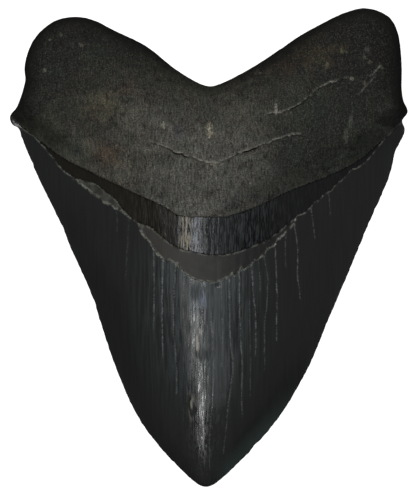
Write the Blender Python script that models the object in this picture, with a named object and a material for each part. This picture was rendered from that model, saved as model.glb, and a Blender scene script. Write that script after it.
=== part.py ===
"""A megalodon tooth, lying on its flat labial face with the domed lingual face up.

The tooth grew as one piece, so it is one closed solid. Its tip points to -Y, its two-lobed root to +Y,
and the labial face touches the table at Z = 0. The plan is drawn in millimetres and fitted to the tooth's
width and length. The lingual and the labial face are two height fields over that plan, and they share the
outline as their rim.
"""

import math

import bmesh
import bpy
import numpy as np
from mathutils import Vector, noise
from mathutils.geometry import delaunay_2d_cdt

# ---- driving dimensions, in millimetres ----------------------------------------------------------------
TOOTH_WIDTH = 110.6        # across the root's shoulders
TOOTH_LENGTH = 133.1       # from the tip to the top of the longer root lobe
CROWN_THICKNESS = 18.5     # lingual dome above the cutting edges, at the base of the enamel
BLADE_THINNESS = 1.1       # above 1 the dome runs out in thinner blades at the cutting edges
NECK_RISE = 1.2            # how much higher the dome is at the root than at the enamel's edge
ROOT_PEAK = 26.6           # height of the root's swelling above the table
PEAK_Y = 20.0              # where the root's swelling is highest
LOBE_THICKNESS = 17.5      # height of the root's lobes above the table, where they leave the swelling
LOBE_END_THICKNESS = 14.0  # their height near their rounded ends
ROOT_RIM = 0.4             # the root's outline lies this far up its thickness
LINGUAL_ROUNDING = 11.0    # how far in from the outline the root's upper edge is rounded
LABIAL_ROUNDING = 6.0      # and its lower edge
ROOT_LIP = 0.7             # step from the bourlette up to the root
LABIAL_STEP = 0.5          # step from the labial enamel back to the labial root
BAND_DEPTH = 0.55          # how far the bare dentine band lies below the enamel and the bourlette
CRACK_DEPTH = 1.0          # depth of the cracks across the root
CRACK_WIDTH = 0.8          # half the width of those cracks
FORAMEN_RADIUS = 1.2       # the nutrient hole above the middle of the root
FORAMEN_DEPTH = 2.2
CONTACT_PRESS = 0.3        # how far the labial bulge would pass the table, which leaves a flat to rest on

# ---- fineness of the facets, in millimetres ------------------------------------------------------------
OUTLINE_STEP = 2.2
LATTICE_STEP = 2.5
RAIL_STEP = 2.2
RAIL_GAP = 0.35            # the two rails of a ledge lie this far to each side of it
RING_INSETS = (0.45, 1.3, 2.8, 4.8, 7.2)
CROWDED = 0.5              # the side of the cells in which points that lie too close are found
MM = 0.001

# ---- the plan, drawn from the tip up -------------------------------------------------------------------
LEFT_EDGE = ((-0.8, -66.5), (-3.0, -65.8), (-9.3, -60.1), (-14.6, -54.3), (-19.9, -46.8), (-25.9, -33.4),
             (-30.4, -20.1), (-32.6, -13.2), (-35.4, -6.7), (-38.1, -0.9), (-41.2, 6.6), (-47.7, 20.0),
             (-52.1, 30.8))
RIGHT_EDGE = ((-0.8, -66.5), (1.4, -65.8), (8.0, -60.1), (13.6, -54.3), (19.8, -46.8), (27.7, -33.4),
              (33.3, -20.1), (39.0, -6.7), (44.5, 6.6), (50.3, 20.0), (52.1, 27.2), (54.1, 31.1))
RIGHT_LOBE = ((54.6, 33.1), (53.8, 35.3), (55.3, 37.8), (54.0, 41.2), (53.6, 44.4), (53.6, 51.1),
              (52.5, 60.0), (50.1, 64.2), (44.0, 66.6), (38.2, 65.5), (29.3, 61.2), (24.9, 58.7),
              (20.4, 55.6), (11.5, 49.8), (3.7, 45.8))
NOTCH = ((0.6, 44.9),)
LEFT_LOBE = ((-1.9, 45.4), (-8.6, 49.2), (-17.5, 56.1), (-26.4, 60.5), (-31.8, 63.2), (-36.4, 64.2),
             (-42.8, 63.1), (-48.7, 57.8), (-51.2, 50.6), (-51.0, 46.7), (-51.6, 43.9), (-53.4, 39.1),
             (-55.3, 36.6), (-54.7, 34.3), (-53.0, 33.3))
CREST = ((-0.8, -66.5), (0.1, -56.0), (1.1, -43.0), (0.6, -34.0), (-1.5, -23.5), (-2.4, -12.0), (-1.9, 0.0),
         (-1.9, 9.0), (-1.0, 34.0))         # the dome's highest line, which wanders a little

# The three lines that cross the lingual face, from left to right.
ROOT_MARGIN = ((-56.0, 37.0), (-48.4, 31.1), (-35.2, 22.3), (-22.9, 16.3), (-12.3, 11.3), (-7.0, 8.8),
               (-1.1, 8.5), (4.8, 8.6), (15.0, 12.2), (26.4, 17.5), (37.0, 21.8), (46.7, 28.5), (56.0, 37.0))
BAND_TOP = ((-18.9, 6.8), (-15.9, 5.6), (-12.3, 2.5), (-7.9, -0.1), (-3.5, -1.2), (1.8, -1.9), (7.0, -1.2),
            (12.3, 0.7), (17.6, 3.4), (22.0, 6.9), (24.8, 9.0))
ENAMEL_EDGE = ((-56.0, 36.4), (-46.7, 29.3), (-40.0, 21.4), (-28.6, 12.6), (-19.4, 6.6), (-18.1, 3.8),
               (-12.3, -3.2), (-9.7, -3.7), (-5.3, -7.8), (-1.8, -9.0), (2.6, -9.0), (8.8, -5.9),
               (12.3, -4.6), (15.8, -2.3), (18.5, 1.2), (21.1, 5.6), (24.2, 8.7), (29.9, 13.5),
               (38.7, 21.0), (49.7, 31.5), (56.0, 36.8))

# The line where the enamel ends on the labial face: a shallow arch, nearer the tip in the middle.
LABIAL_EDGE = ((-56.0, 38.0), (-46.0, 32.0), (-30.0, 25.5), (-12.0, 22.4), (2.0, 22.0), (16.0, 23.4),
               (33.0, 27.5), (47.0, 33.5), (56.0, 39.0))

# The cracks and the groove in the root, and its nutrient hole.
LONG_CRACK = ((-17.5, 30.3), (-12.0, 27.6), (-8.1, 25.7), (-1.3, 23.4), (1.3, 23.0), (6.8, 25.1),
              (16.6, 28.9), (24.7, 31.2))
SLANT_CRACK = ((14.9, 35.3), (18.3, 37.0), (26.0, 40.6), (31.7, 44.7), (38.7, 47.0), (45.8, 50.0))
LOBE_GROOVE = ((40.0, 40.8), (38.7, 35.6), (36.5, 25.8))
FORAMEN = (0.0, 31.9)


# ---- curves in the plan --------------------------------------------------------------------------------
def between(a, b, share):
    return a + (b - a) * share


def span_point(corners, knots, t):
    """One point of a Catmull-Rom span, by Barry and Goldman's pyramid."""
    p0, p1, p2, p3 = corners
    t0, t1, t2, t3 = knots
    a1 = between(p0, p1, (t - t0) / (t1 - t0))
    a2 = between(p1, p2, (t - t1) / (t2 - t1))
    a3 = between(p2, p3, (t - t2) / (t3 - t2))
    b1 = between(a1, a2, (t - t0) / (t2 - t0))
    b2 = between(a2, a3, (t - t1) / (t3 - t1))
    return between(b1, b2, (t - t1) / (t2 - t1))


def smooth_curve(points, step, closed=False):
    """A centripetal Catmull-Rom curve through the points, read at equal steps along its length."""
    points = [np.array(point, float) for point in points]
    if closed:
        chain = [points[-1]] + points + points[:2]
    else:
        chain = [2 * points[0] - points[1]] + points + [2 * points[-1] - points[-2]]
    fine = []
    for corners in zip(chain, chain[1:], chain[2:], chain[3:]):
        gaps = [math.sqrt(np.linalg.norm(b - a)) for a, b in zip(corners, corners[1:])]
        knots = np.concatenate(([0.0], np.cumsum(gaps)))
        fine += [span_point(corners, knots, t) for t in np.linspace(knots[1], knots[2], 24, endpoint=False)]
    fine = np.array(fine + [chain[-2]])
    along = np.concatenate(([0.0], np.cumsum(np.linalg.norm(np.diff(fine, axis=0), axis=1))))
    stops = np.linspace(0.0, along[-1], max(2, round(along[-1] / step)) + 1)
    curve = np.column_stack([np.interp(stops, along, fine[:, axis]) for axis in (0, 1)])
    return curve[:-1] if closed else curve


def distance_to(curve, at, closed=False):
    """The distance of each point to the nearest stretch of a curve."""
    starts = curve if closed else curve[:-1]
    ends = np.roll(curve, -1, axis=0) if closed else curve[1:]
    nearest = np.full(len(at), np.inf)
    for start, end in zip(starts, ends):
        run = end - start
        share = np.clip((at - start) @ run / max(run @ run, 1e-12), 0.0, 1.0)
        nearest = np.minimum(nearest, np.linalg.norm(at - start - share[:, None] * run, axis=1))
    return nearest


def inside(loop, at):
    """Which of the points lie inside a closed loop, by counting the edges that a line to +X crosses."""
    crossings = np.zeros(len(at), bool)
    for (x0, y0), (x1, y1) in zip(loop, np.roll(loop, -1, axis=0)):
        if y0 != y1:
            level = (y0 > at[:, 1]) != (y1 > at[:, 1])
            crossings ^= level & (at[:, 0] < x0 + (at[:, 1] - y0) * (x1 - x0) / (y1 - y0))
    return crossings


def side_rails(curve, gap, with_middle=False):
    """Two copies of an open curve, set off to each side, and the curve itself if it is wanted too."""
    heading = np.gradient(curve, axis=0)
    heading /= np.linalg.norm(heading, axis=1)[:, None]
    aside = np.column_stack((-heading[:, 1], heading[:, 0]))
    rails = [curve + gap * aside, curve - gap * aside]
    return rails + [curve] if with_middle else rails


def ease(low, high, value):
    """0 below low, 1 above high and a smooth rise between them."""
    share = np.clip((value - low) / (high - low), 0.0, 1.0)
    return share * share * (3 - 2 * share)


DRAWN = RIGHT_EDGE + RIGHT_LOBE + NOTCH + LEFT_LOBE + LEFT_EDGE[:0:-1]
FINE_OUTLINE = smooth_curve(DRAWN, 0.4, closed=True)
DRAWN_LOW = FINE_OUTLINE.min(axis=0)
DRAWN_HIGH = FINE_OUTLINE.max(axis=0)


def fitted(points):
    """Moves drawn points so that the outline fills the tooth's width and length, around X = Y = 0."""
    middle = (DRAWN_LOW + DRAWN_HIGH) / 2
    return (np.array(points, float) - middle) * (TOOTH_WIDTH, TOOTH_LENGTH) / (DRAWN_HIGH - DRAWN_LOW)


def line_height(points, x):
    """The Y of a line that crosses the tooth, at each X."""
    curve = smooth_curve(fitted(points), 0.5)
    return np.interp(x, curve[:, 0], curve[:, 1])


def edge_at(points, y):
    """The X of one of the crown's cutting edges, at each Y; above the shoulder it goes straight on up."""
    curve = smooth_curve(fitted(points), 0.5)
    return np.interp(y, curve[:, 1], curve[:, 0])


# ---- the two faces as heights over the plan ------------------------------------------------------------
TIP_Y = fitted([LEFT_EDGE[0]])[0][1]
SHOULDER_Y = fitted([LEFT_EDGE[-1]])[0][1]
OUTLINE = smooth_curve(fitted(DRAWN), OUTLINE_STEP, closed=True)


def crown_across(at):
    """Where each point lies between the cutting edges: -1 on the left, 0 on the crest and 1 on the right."""
    left, right = edge_at(LEFT_EDGE, at[:, 1]), edge_at(RIGHT_EDGE, at[:, 1])
    midway = np.clip((2 * at[:, 0] - left - right) / (right - left), -1.0, 1.0)
    crest = np.clip((2 * edge_at(CREST, at[:, 1]) - left - right) / (right - left), -0.3, 0.3)
    return midway - crest * (1 - midway ** 2)


def lobe_height(y):
    return between(LOBE_THICKNESS, LOBE_END_THICKNESS, ease(SHOULDER_Y, TOOTH_LENGTH / 2, y))


def rim_height(y):
    """The outline's height above the table: low along the cutting edges, partway up the root's side."""
    blade = np.interp(y, (TIP_Y, -40.0, 0.0, SHOULDER_Y), (3.2, 2.5, 2.6, 3.6))
    return between(blade, ROOT_RIM * lobe_height(y), ease(SHOULDER_Y - 2, SHOULDER_Y + 12, y))


def rootness(at):
    """0 on the crown and 1 well up the root, counted from the root's margin."""
    return ease(-0.5, 9.0, at[:, 1] - line_height(ROOT_MARGIN, at[:, 0]))


def rounded_edge(at, reach):
    """The root's quarter-round edge: 0 on the outline and 1 where the rounding ends."""
    inward = np.clip(distance_to(OUTLINE, at, closed=True) / reach, 0.0, 1.0)
    return np.sqrt(1 - (1 - inward) ** 2)


def clear_of_rim(at):
    """0 on the outline and 1 from 5 mm in, so that both faces meet on the rim."""
    return ease(0.0, 5.0, distance_to(OUTLINE, at, closed=True))


def lumps(at, size, seed):
    """Smooth natural unevenness, about -1 to 1, with lumps of the given size."""
    return np.array([noise.noise(Vector((x / size, y / size, seed))) for x, y in at])


def pit(at, centre, radius):
    """1 at the centre of a round pit, falling to 0 at its edge."""
    return 1 - ease(0.0, radius, np.linalg.norm(at - fitted([centre])[0], axis=1))


def groove(at, points, width):
    """1 along the middle of a groove, falling to 0 at its sides."""
    return 1 - ease(0.0, width, distance_to(smooth_curve(fitted(points), RAIL_STEP), at))


def lingual_height(at):
    """The upper face: enamel dome, bare dentine band, bourlette, and the swollen root with its two lobes."""
    x, y = at[:, 0], at[:, 1]
    rim = rim_height(y)
    root = rootness(at)

    up_crown = np.clip((y - TIP_Y) / (line_height(ENAMEL_EDGE, 0.0) - TIP_Y), 0.0, 1.0)
    neck = ease(-8.0, 12.0, y)
    dome = CROWN_THICKNESS * np.sin(math.pi / 2 * up_crown ** 0.8) + NECK_RISE * neck
    crown_shape = np.maximum(1 - crown_across(at) ** 2, 0.0) ** BLADE_THINNESS

    below_peak, above_peak = np.minimum(y - PEAK_Y, 0) / 22.0, np.maximum(y - PEAK_Y, 0) / 15.0
    swelling = np.exp(-(x / 27.0) ** 2 - below_peak ** 2 - above_peak ** 2)
    unevenness = 0.7 * lumps(at, 10.0, 3.0) + 0.35 * lumps(at, 5.0, 4.0)
    root_level = between(lobe_height(y), ROOT_PEAK, swelling) + unevenness
    level = between(dome, root_level - rim, root)
    height = rim + level * between(crown_shape, rounded_edge(at, LINGUAL_ROUNDING), root)

    above_margin = y - line_height(ROOT_MARGIN, x)
    lip = ROOT_LIP * ease(-RAIL_GAP, RAIL_GAP, above_margin) * np.exp(-np.maximum(above_margin, 0) / 8.0)
    above_enamel = ease(-RAIL_GAP, RAIL_GAP, y - line_height(ENAMEL_EDGE, x))
    below_bourlette = ease(-RAIL_GAP, RAIL_GAP, line_height(BAND_TOP, x) - y)
    height += clear_of_rim(at) * (lip - BAND_DEPTH * above_enamel * below_bourlette)
    for crack in (LONG_CRACK, SLANT_CRACK):
        height -= CRACK_DEPTH * groove(at, crack, CRACK_WIDTH)
    height -= 0.6 * groove(at, LOBE_GROOVE, 2.6)
    height -= FORAMEN_DEPTH * pit(at, FORAMEN, FORAMEN_RADIUS)
    return height


def labial_height(at):
    """The lower face: nearly flat, bulging to the table along the crown's middle and under the lobes."""
    x, y = at[:, 0], at[:, 1]
    rim = rim_height(y)
    crown_shape = np.maximum(1 - crown_across(at) ** 2, 0.0) ** 0.8 * ease(0.0, 16.0, y - TIP_Y)
    root = rootness(at)
    bulge = (rim + CONTACT_PRESS) * between(crown_shape, rounded_edge(at, LABIAL_ROUNDING), root)
    hollow = 1.8 * np.exp(-(x / 15.0) ** 2 - ((y - 38.0) / 11.0) ** 2)
    unevenness = 0.3 * lumps(at, 9.0, 8.0) * root
    above_edge = y - line_height(LABIAL_EDGE, x)
    step = LABIAL_STEP * ease(-RAIL_GAP, RAIL_GAP, above_edge) * np.exp(-np.maximum(above_edge, 0) / 5.0)
    return np.maximum(rim - bulge + hollow + unevenness + step * clear_of_rim(at), 0.0)


# ---- the plan's triangles ------------------------------------------------------------------------------
def inset_rings():
    """Rows of points just inside the outline, which form the root's round edge and the crown's thin one."""
    heading = np.roll(OUTLINE, -1, axis=0) - np.roll(OUTLINE, 1, axis=0)
    heading /= np.linalg.norm(heading, axis=1)[:, None]
    inward = np.column_stack((-heading[:, 1], heading[:, 0]))
    rows = []
    for inset in RING_INSETS:
        row = OUTLINE + inset * inward
        rows.append(row[distance_to(OUTLINE, row, closed=True) > 0.93 * inset])
    rows = np.concatenate(rows)
    return rows[inside(OUTLINE, rows)]


def lattice():
    """Staggered rows of points that fill the plan."""
    row_gap = LATTICE_STEP * math.sqrt(3) / 2
    points = []
    for row in range(int(TOOTH_LENGTH / row_gap) + 1):
        y = -TOOTH_LENGTH / 2 + row * row_gap
        start = -TOOTH_WIDTH / 2 + (row % 2) * LATTICE_STEP / 2
        points += [(x, y) for x in np.arange(start, TOOTH_WIDTH / 2, LATTICE_STEP)]
    points = np.array(points)
    return points[inside(OUTLINE, points)]


def lingual_rails():
    """The rows of points that keep the ledges and cracks of the lingual face crisp."""
    rails = []
    for line in (ROOT_MARGIN, BAND_TOP, ENAMEL_EDGE):
        rails += side_rails(smooth_curve(fitted(line), RAIL_STEP), RAIL_GAP)
    margin = smooth_curve(fitted(ROOT_MARGIN), RAIL_STEP)
    rails += [side_rails(margin, gap)[0] for gap in (RAIL_GAP + RAIL_STEP, RAIL_GAP + 2 * RAIL_STEP)]
    enamel = smooth_curve(fitted(ENAMEL_EDGE), RAIL_STEP)
    rails.append(side_rails(enamel, RAIL_GAP + RAIL_STEP)[1])
    for crack in (LONG_CRACK, SLANT_CRACK):
        rails += side_rails(smooth_curve(fitted(crack), RAIL_STEP), CRACK_WIDTH, with_middle=True)
    centre = fitted([FORAMEN])[0]
    turns = np.linspace(0, 2 * math.pi, 8, endpoint=False)
    rails.append(centre + FORAMEN_RADIUS * np.column_stack((np.cos(turns), np.sin(turns))))
    rails.append(centre[None, :])
    return well_inside(np.concatenate(rails))


def labial_rails():
    """The two rows of points along the labial end of the enamel."""
    return well_inside(np.concatenate(side_rails(smooth_curve(fitted(LABIAL_EDGE), RAIL_STEP), RAIL_GAP)))


def well_inside(points, margin=1.6):
    return points[inside(OUTLINE, points) & (distance_to(OUTLINE, points, closed=True) > margin)]


def triangulated(groups):
    """Delaunay triangles that fill the outline, through every point that keeps its group's room."""
    kept = []
    cells = {}

    def keep(point):
        kept.append(point)
        cells.setdefault(tuple(np.floor(point / CROWDED).astype(int)), []).append(point)

    for point in OUTLINE:
        keep(point)
    for points, room in groups:
        reach = range(-math.ceil(room / CROWDED), math.ceil(room / CROWDED) + 1)
        for point in points:
            column, row = np.floor(point / CROWDED).astype(int)
            near = [other for i in reach for j in reach for other in cells.get((column + i, row + j), ())]
            if all(np.linalg.norm(point - other) > room for other in near):
                keep(point)
    loop = [list(range(len(OUTLINE)))]
    flat, _, triangles, *_ = delaunay_2d_cdt([Vector(point) for point in kept], [], loop, 1, 1e-5)
    return np.array([tuple(point) for point in flat]), triangles


# ---- the solid -----------------------------------------------------------------------------------------
def add_vertex(mesh, point, height):
    return mesh.verts.new((point[0] * MM, point[1] * MM, height * MM))


def tooth_mesh():
    """One closed body: the lingual face, and the labial face turned over and joined to it along the rim."""
    common = [(inset_rings(), 0.45), (lattice(), 1.45)]
    mesh = bmesh.new()
    rim = [add_vertex(mesh, point, height) for point, height in zip(OUTLINE, rim_height(OUTLINE[:, 1]))]
    faces = ((lingual_height, lingual_rails(), False), (labial_height, labial_rails(), True))
    for height_of, rails, turned_over in faces:
        plan, triangles = triangulated([(rails, 0.5)] + common)
        heights = height_of(plan)
        inner = [add_vertex(mesh, point, height) for point, height in list(zip(plan, heights))[len(rim):]]
        verts = rim + inner
        for corners in triangles:
            ring = [verts[corner] for corner in corners]
            mesh.faces.new(ring[::-1] if turned_over else ring)
    data = bpy.data.meshes.new("tooth")
    mesh.to_mesh(data)
    mesh.free()
    data.shade_smooth()
    data.set_sharp_from_angle(angle=math.radians(50))
    return data


def fossil_material():
    """Phosphate that has taken the place of dentine and enamel: near black, with a soft gloss."""
    material = bpy.data.materials.new("Fossil dentine and enamel")
    material.use_nodes = True
    surface = material.node_tree.nodes["Principled BSDF"]
    surface.inputs["Base Color"].default_value = (0.027, 0.026, 0.023, 1.0)
    surface.inputs["Roughness"].default_value = 0.45
    surface.inputs["Metallic"].default_value = 0.0
    return material


def clear_scene():
    for thing in list(bpy.data.objects):
        bpy.data.objects.remove(thing, do_unlink=True)


def main():
    clear_scene()
    collection = bpy.data.collections.new("Megalodon tooth")
    bpy.context.scene.collection.children.link(collection)
    tooth = bpy.data.objects.new("tooth", tooth_mesh())
    tooth.data.materials.append(fossil_material())
    collection.objects.link(tooth)


main()
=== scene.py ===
import math

import bpy
import numpy as np
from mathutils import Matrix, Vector, noise
from mathutils.geometry import delaunay_2d_cdt


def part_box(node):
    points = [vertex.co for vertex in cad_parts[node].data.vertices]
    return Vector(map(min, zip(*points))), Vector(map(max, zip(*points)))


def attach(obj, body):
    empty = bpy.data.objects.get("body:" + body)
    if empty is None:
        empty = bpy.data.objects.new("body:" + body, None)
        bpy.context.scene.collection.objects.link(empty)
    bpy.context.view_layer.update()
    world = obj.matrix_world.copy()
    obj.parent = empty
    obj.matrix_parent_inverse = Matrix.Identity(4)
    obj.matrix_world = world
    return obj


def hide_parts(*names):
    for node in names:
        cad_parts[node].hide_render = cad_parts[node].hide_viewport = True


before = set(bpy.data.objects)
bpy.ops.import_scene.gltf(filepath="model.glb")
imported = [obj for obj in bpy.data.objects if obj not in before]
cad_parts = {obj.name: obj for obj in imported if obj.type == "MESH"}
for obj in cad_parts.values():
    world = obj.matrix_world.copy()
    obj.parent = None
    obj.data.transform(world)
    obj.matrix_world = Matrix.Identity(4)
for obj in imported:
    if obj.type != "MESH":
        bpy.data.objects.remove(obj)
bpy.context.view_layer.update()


# ---- The outline -------------------------------------------------------------------------------------
# A megalodon tooth, turned to stone: one grown piece, broad and three-cornered. Two cutting edges meet at
# the tip, and the root has two lobes with a notch between them. The saw teeth of its edges are worn down to
# faint nicks, and a few larger flakes are gone. It lies on its flat labial face. Sizes are in millimetres.

MM = 0.001
LEFT_EDGE = ((-0.8, -66.5), (-3.0, -65.8), (-9.3, -60.1), (-14.6, -54.3), (-19.9, -46.8), (-25.9, -33.4),
             (-30.4, -20.1), (-32.6, -13.2), (-35.4, -6.7), (-38.1, -0.9), (-41.2, 6.6), (-47.7, 20.0),
             (-52.1, 30.8))
RIGHT_EDGE = ((-0.8, -66.5), (1.4, -65.8), (8.0, -60.1), (13.6, -54.3), (19.8, -46.8), (27.7, -33.4),
              (33.3, -20.1), (39.0, -6.7), (44.5, 6.6), (50.3, 20.0), (52.1, 27.2), (54.1, 31.1))
RIGHT_LOBE = ((54.6, 33.1), (53.8, 35.3), (55.3, 37.8), (54.0, 41.2), (53.6, 44.4), (53.6, 51.1),
              (52.5, 60.0), (50.1, 64.2), (44.0, 66.6), (38.2, 65.5), (29.3, 61.2), (24.9, 58.7),
              (20.4, 55.6), (11.5, 49.8), (3.7, 45.8))
NOTCH = ((0.6, 44.9),)
LEFT_LOBE = ((-1.9, 45.4), (-8.6, 49.2), (-17.5, 56.1), (-26.4, 60.5), (-31.8, 63.2), (-36.4, 64.2),
             (-42.8, 63.1), (-48.7, 57.8), (-51.2, 50.6), (-51.0, 46.7), (-51.6, 43.9), (-53.4, 39.1),
             (-55.3, 36.6), (-54.7, 34.3), (-53.0, 33.3))
SPAN_POINTS = 24           # points on each span of a curve before it is read at equal steps
DRAWN_STEP = 0.4
OUTLINE_STEP = 0.5
NICK_DEPTH = 0.12          # the worn saw teeth
NICK_PITCH = 2.9
RIPPLE_SHARE = 0.8         # a finer ripple on them
RIPPLE_SIZE = 0.9
CUTTING_EDGE_END = (31.0, 36.0)              # the nicks fade out between these heights
# Each lost flake: x, y, reach and depth.
FLAKES = ((12.5, -54.7, 0.9, 0.4), (-40.3, 5.6, 0.8, 0.35), (-31.4, -15.5, 1.0, 0.2),
          (-49.0, 23.7, 0.8, 0.2))


def between(a, b, share):
    return a + (b - a) * share


def ease(low, high, value):
    """0 below low, 1 above high and a smooth rise between them."""
    share = np.clip((value - low) / (high - low), 0.0, 1.0)
    return share * share * (3 - 2 * share)


def span_point(corners, knots, t):
    """One point of a Catmull-Rom span, by Barry and Goldman's pyramid."""
    p0, p1, p2, p3 = corners
    t0, t1, t2, t3 = knots
    a1 = between(p0, p1, (t - t0) / (t1 - t0))
    a2 = between(p1, p2, (t - t1) / (t2 - t1))
    a3 = between(p2, p3, (t - t2) / (t3 - t2))
    b1 = between(a1, a2, (t - t0) / (t2 - t0))
    b2 = between(a2, a3, (t - t1) / (t3 - t1))
    return between(b1, b2, (t - t1) / (t2 - t1))


def smooth_curve(points, step, closed=False):
    """A centripetal Catmull-Rom curve through the points, read at equal steps along its length."""
    points = [np.array(point, float) for point in points]
    if closed:
        chain = [points[-1]] + points + points[:2]
    else:
        chain = [2 * points[0] - points[1]] + points + [2 * points[-1] - points[-2]]
    fine = []
    for corners in zip(chain, chain[1:], chain[2:], chain[3:]):
        gaps = [math.sqrt(np.linalg.norm(b - a)) for a, b in zip(corners, corners[1:])]
        knots = np.concatenate(([0.0], np.cumsum(gaps)))
        stops = np.linspace(knots[1], knots[2], SPAN_POINTS, endpoint=False)
        fine += [span_point(corners, knots, t) for t in stops]
    fine = np.array(fine + [chain[-2]])
    along = np.concatenate(([0.0], np.cumsum(np.linalg.norm(np.diff(fine, axis=0), axis=1))))
    stops = np.linspace(0.0, along[-1], max(2, round(along[-1] / step)) + 1)
    curve = np.column_stack([np.interp(stops, along, fine[:, axis]) for axis in (0, 1)])
    return curve[:-1] if closed else curve


def distance_to(curve, at, closed=False):
    """The distance of each point to the nearest stretch of a curve."""
    starts = curve if closed else curve[:-1]
    ends = np.roll(curve, -1, axis=0) if closed else curve[1:]
    nearest = np.full(len(at), np.inf)
    for start, end in zip(starts, ends):
        run = end - start
        share = np.clip((at - start) @ run / max(run @ run, 1e-12), 0.0, 1.0)
        nearest = np.minimum(nearest, ((at - start - share[:, None] * run) ** 2).sum(axis=1))
    return np.sqrt(nearest)


def inside(loop, at):
    """Which of the points lie inside a closed loop, by counting the edges that a line to +X crosses."""
    crossings = np.zeros(len(at), bool)
    for (x0, y0), (x1, y1) in zip(loop, np.roll(loop, -1, axis=0)):
        if y0 != y1:
            level = (y0 > at[:, 1]) != (y1 > at[:, 1])
            crossings ^= level & (at[:, 0] < x0 + (at[:, 1] - y0) * (x1 - x0) / (y1 - y0))
    return crossings


def lumps(at, size, seed, stretch=1.0):
    """Smooth unevenness, about -1 to 1, with lumps of the given size, drawn out along Y if asked."""
    places = np.column_stack((at[:, 0] / size, at[:, 1] / (size * stretch)))
    return np.array([noise.noise((x, y, seed)) for x, y in places.tolist()])


tooth_low, tooth_high = [np.array(corner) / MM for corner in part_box("tooth")]
drawn_outline = RIGHT_EDGE + RIGHT_LOBE + NOTCH + LEFT_LOBE + LEFT_EDGE[:0:-1]
drawn_curve = smooth_curve(drawn_outline, DRAWN_STEP, closed=True)
drawn_low, drawn_high = drawn_curve.min(axis=0), drawn_curve.max(axis=0)


def fitted(points):
    """Moves drawn points, in millimetres, so that the outline fills the tooth's box."""
    share = (np.array(points, float) - drawn_low) / (drawn_high - drawn_low)
    return tooth_low[:2] + share * (tooth_high - tooth_low)[:2]


def sideways(curve):
    """The direction across a curve at each of its points, to the left of the way it runs."""
    heading = np.gradient(curve, axis=0)
    heading /= np.linalg.norm(heading, axis=1)[:, None]
    return np.column_stack((-heading[:, 1], heading[:, 0]))


def worn_outline():
    """The smooth outline with its worn nicks, which are fainter along the root, and its lost flakes."""
    curve = smooth_curve(fitted(drawn_outline), OUTLINE_STEP, closed=True)
    inward = sideways(np.concatenate((curve[-1:], curve, curve[:1])))[1:-1]
    nicks = lumps(curve, NICK_PITCH / 2, seed=40.0)
    ripple = RIPPLE_SHARE * lumps(curve, RIPPLE_SIZE, seed=41.0)
    depth = NICK_DEPTH * (nicks + ripple) * (1 - 0.6 * ease(*CUTTING_EDGE_END, curve[:, 1]))
    for x, y, reach, loss in FLAKES:
        depth += loss * np.exp(-(np.linalg.norm(curve - (x, y), axis=1) / reach) ** 2)
    return curve + inward * depth[:, None]


outline = worn_outline()


# ---- The body: dome, root and lobes ------------------------------------------------------------------
# The crown is enamel over dentine, a dome on the lingual face, thickest at the neck and drawn out to a thin
# blade at each edge. The dentine root swells above it and spreads into two lobes with round sides. The
# labial face is nearly flat, so the tooth rests on the middle of its crown and on its lobes.

CROWN_THICKNESS = 18.5
DOME_CURVE = 0.8           # below 1 the dome rises fastest near the tip
NECK_RISE = 1.2            # the dome goes on rising by this much between two heights
NECK = (-8.0, 12.0)
ROOT_PEAK = 26.6
PEAK_Y = 20.0
SWELLING_WIDTH = 27.0      # the reach of the root's swelling to each side, below its peak and above it
SWELLING_BELOW = 22.0
SWELLING_ABOVE = 15.0
LOBE_THICKNESS = 17.5
LOBE_END_THICKNESS = 14.0
BLADE_HEIGHTS = ((-40.0, 2.5), (0.0, 2.6))   # the cutting edges' height above the table, at two places
TIP_HEIGHT = 3.2
SHOULDER_HEIGHT = 3.6
ROOT_RIM = 0.4             # the root's outline lies this far up its thickness
LINGUAL_ROUNDING = 11.0
LABIAL_ROUNDING = 6.0
CONTACT_PRESS = 0.3        # the labial bulge is pressed flat by this much where it rests
NOTCH_HOLLOW = (0.0, 38.0, 15.0, 11.0)       # a hollow under the notch: x, y and reach along each
HOLLOW_DEPTH = 1.8
BLADE_THINNESS = 1.1       # above 1 the dome runs out in thinner blades
LEAST_SLOPE = 0.3          # the upper face leaves its rim at this slope at least, so it stays off the lower
SLOPE_REACH = 0.5
# The crest wanders a little to each side, as a grown tooth's does.
CREST = ((-0.8, -66.5), (-0.3, -56.0), (0.3, -43.0), (-0.2, -34.0), (-1.7, -23.5), (-2.7, -12.0),
         (-2.4, 0.0), (-2.6, 9.0), (-1.0, 34.0))
CREST_SWAY = 0.3           # and strays at most by this share of the crown's half width
LEAST_WIDTH = 1e-6         # the crown's width at the point of the tip, to divide by
LINE_STEP = 0.3
# Unevenness of each face: depth, size and seed.
LINGUAL_UNEVENNESS = ((0.7, 10.0, 3.0), (0.35, 5.0, 4.0))
LABIAL_UNEVENNESS = (0.3, 9.0, 8.0)
ROOT_MARGIN = ((-56.0, 37.0), (-48.4, 31.1), (-40.5, 25.1), (-35.2, 22.3), (-22.9, 16.3), (-12.3, 11.3),
               (-8.4, 9.0), (-5.5, 8.5), (-1.1, 8.5), (4.8, 8.6), (8.8, 9.8), (15.0, 12.2), (21.1, 15.3),
               (26.4, 17.4), (37.0, 21.8), (42.2, 24.9), (46.7, 28.7), (56.0, 37.0))
tip_y = fitted([LEFT_EDGE[0]])[0][1]
shoulder_y = fitted([LEFT_EDGE[-1]])[0][1]
top_y = tooth_high[1]


def line_height(points, x):
    """The Y of a line that crosses the tooth, at each X."""
    curve = smooth_curve(fitted(points), LINE_STEP)
    return np.interp(x, curve[:, 0], curve[:, 1])


def edge_at(points, y):
    """The X of one of the crown's cutting edges, at each Y."""
    curve = smooth_curve(fitted(points), LINE_STEP)
    return np.interp(y, curve[:, 1], curve[:, 0])


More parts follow.
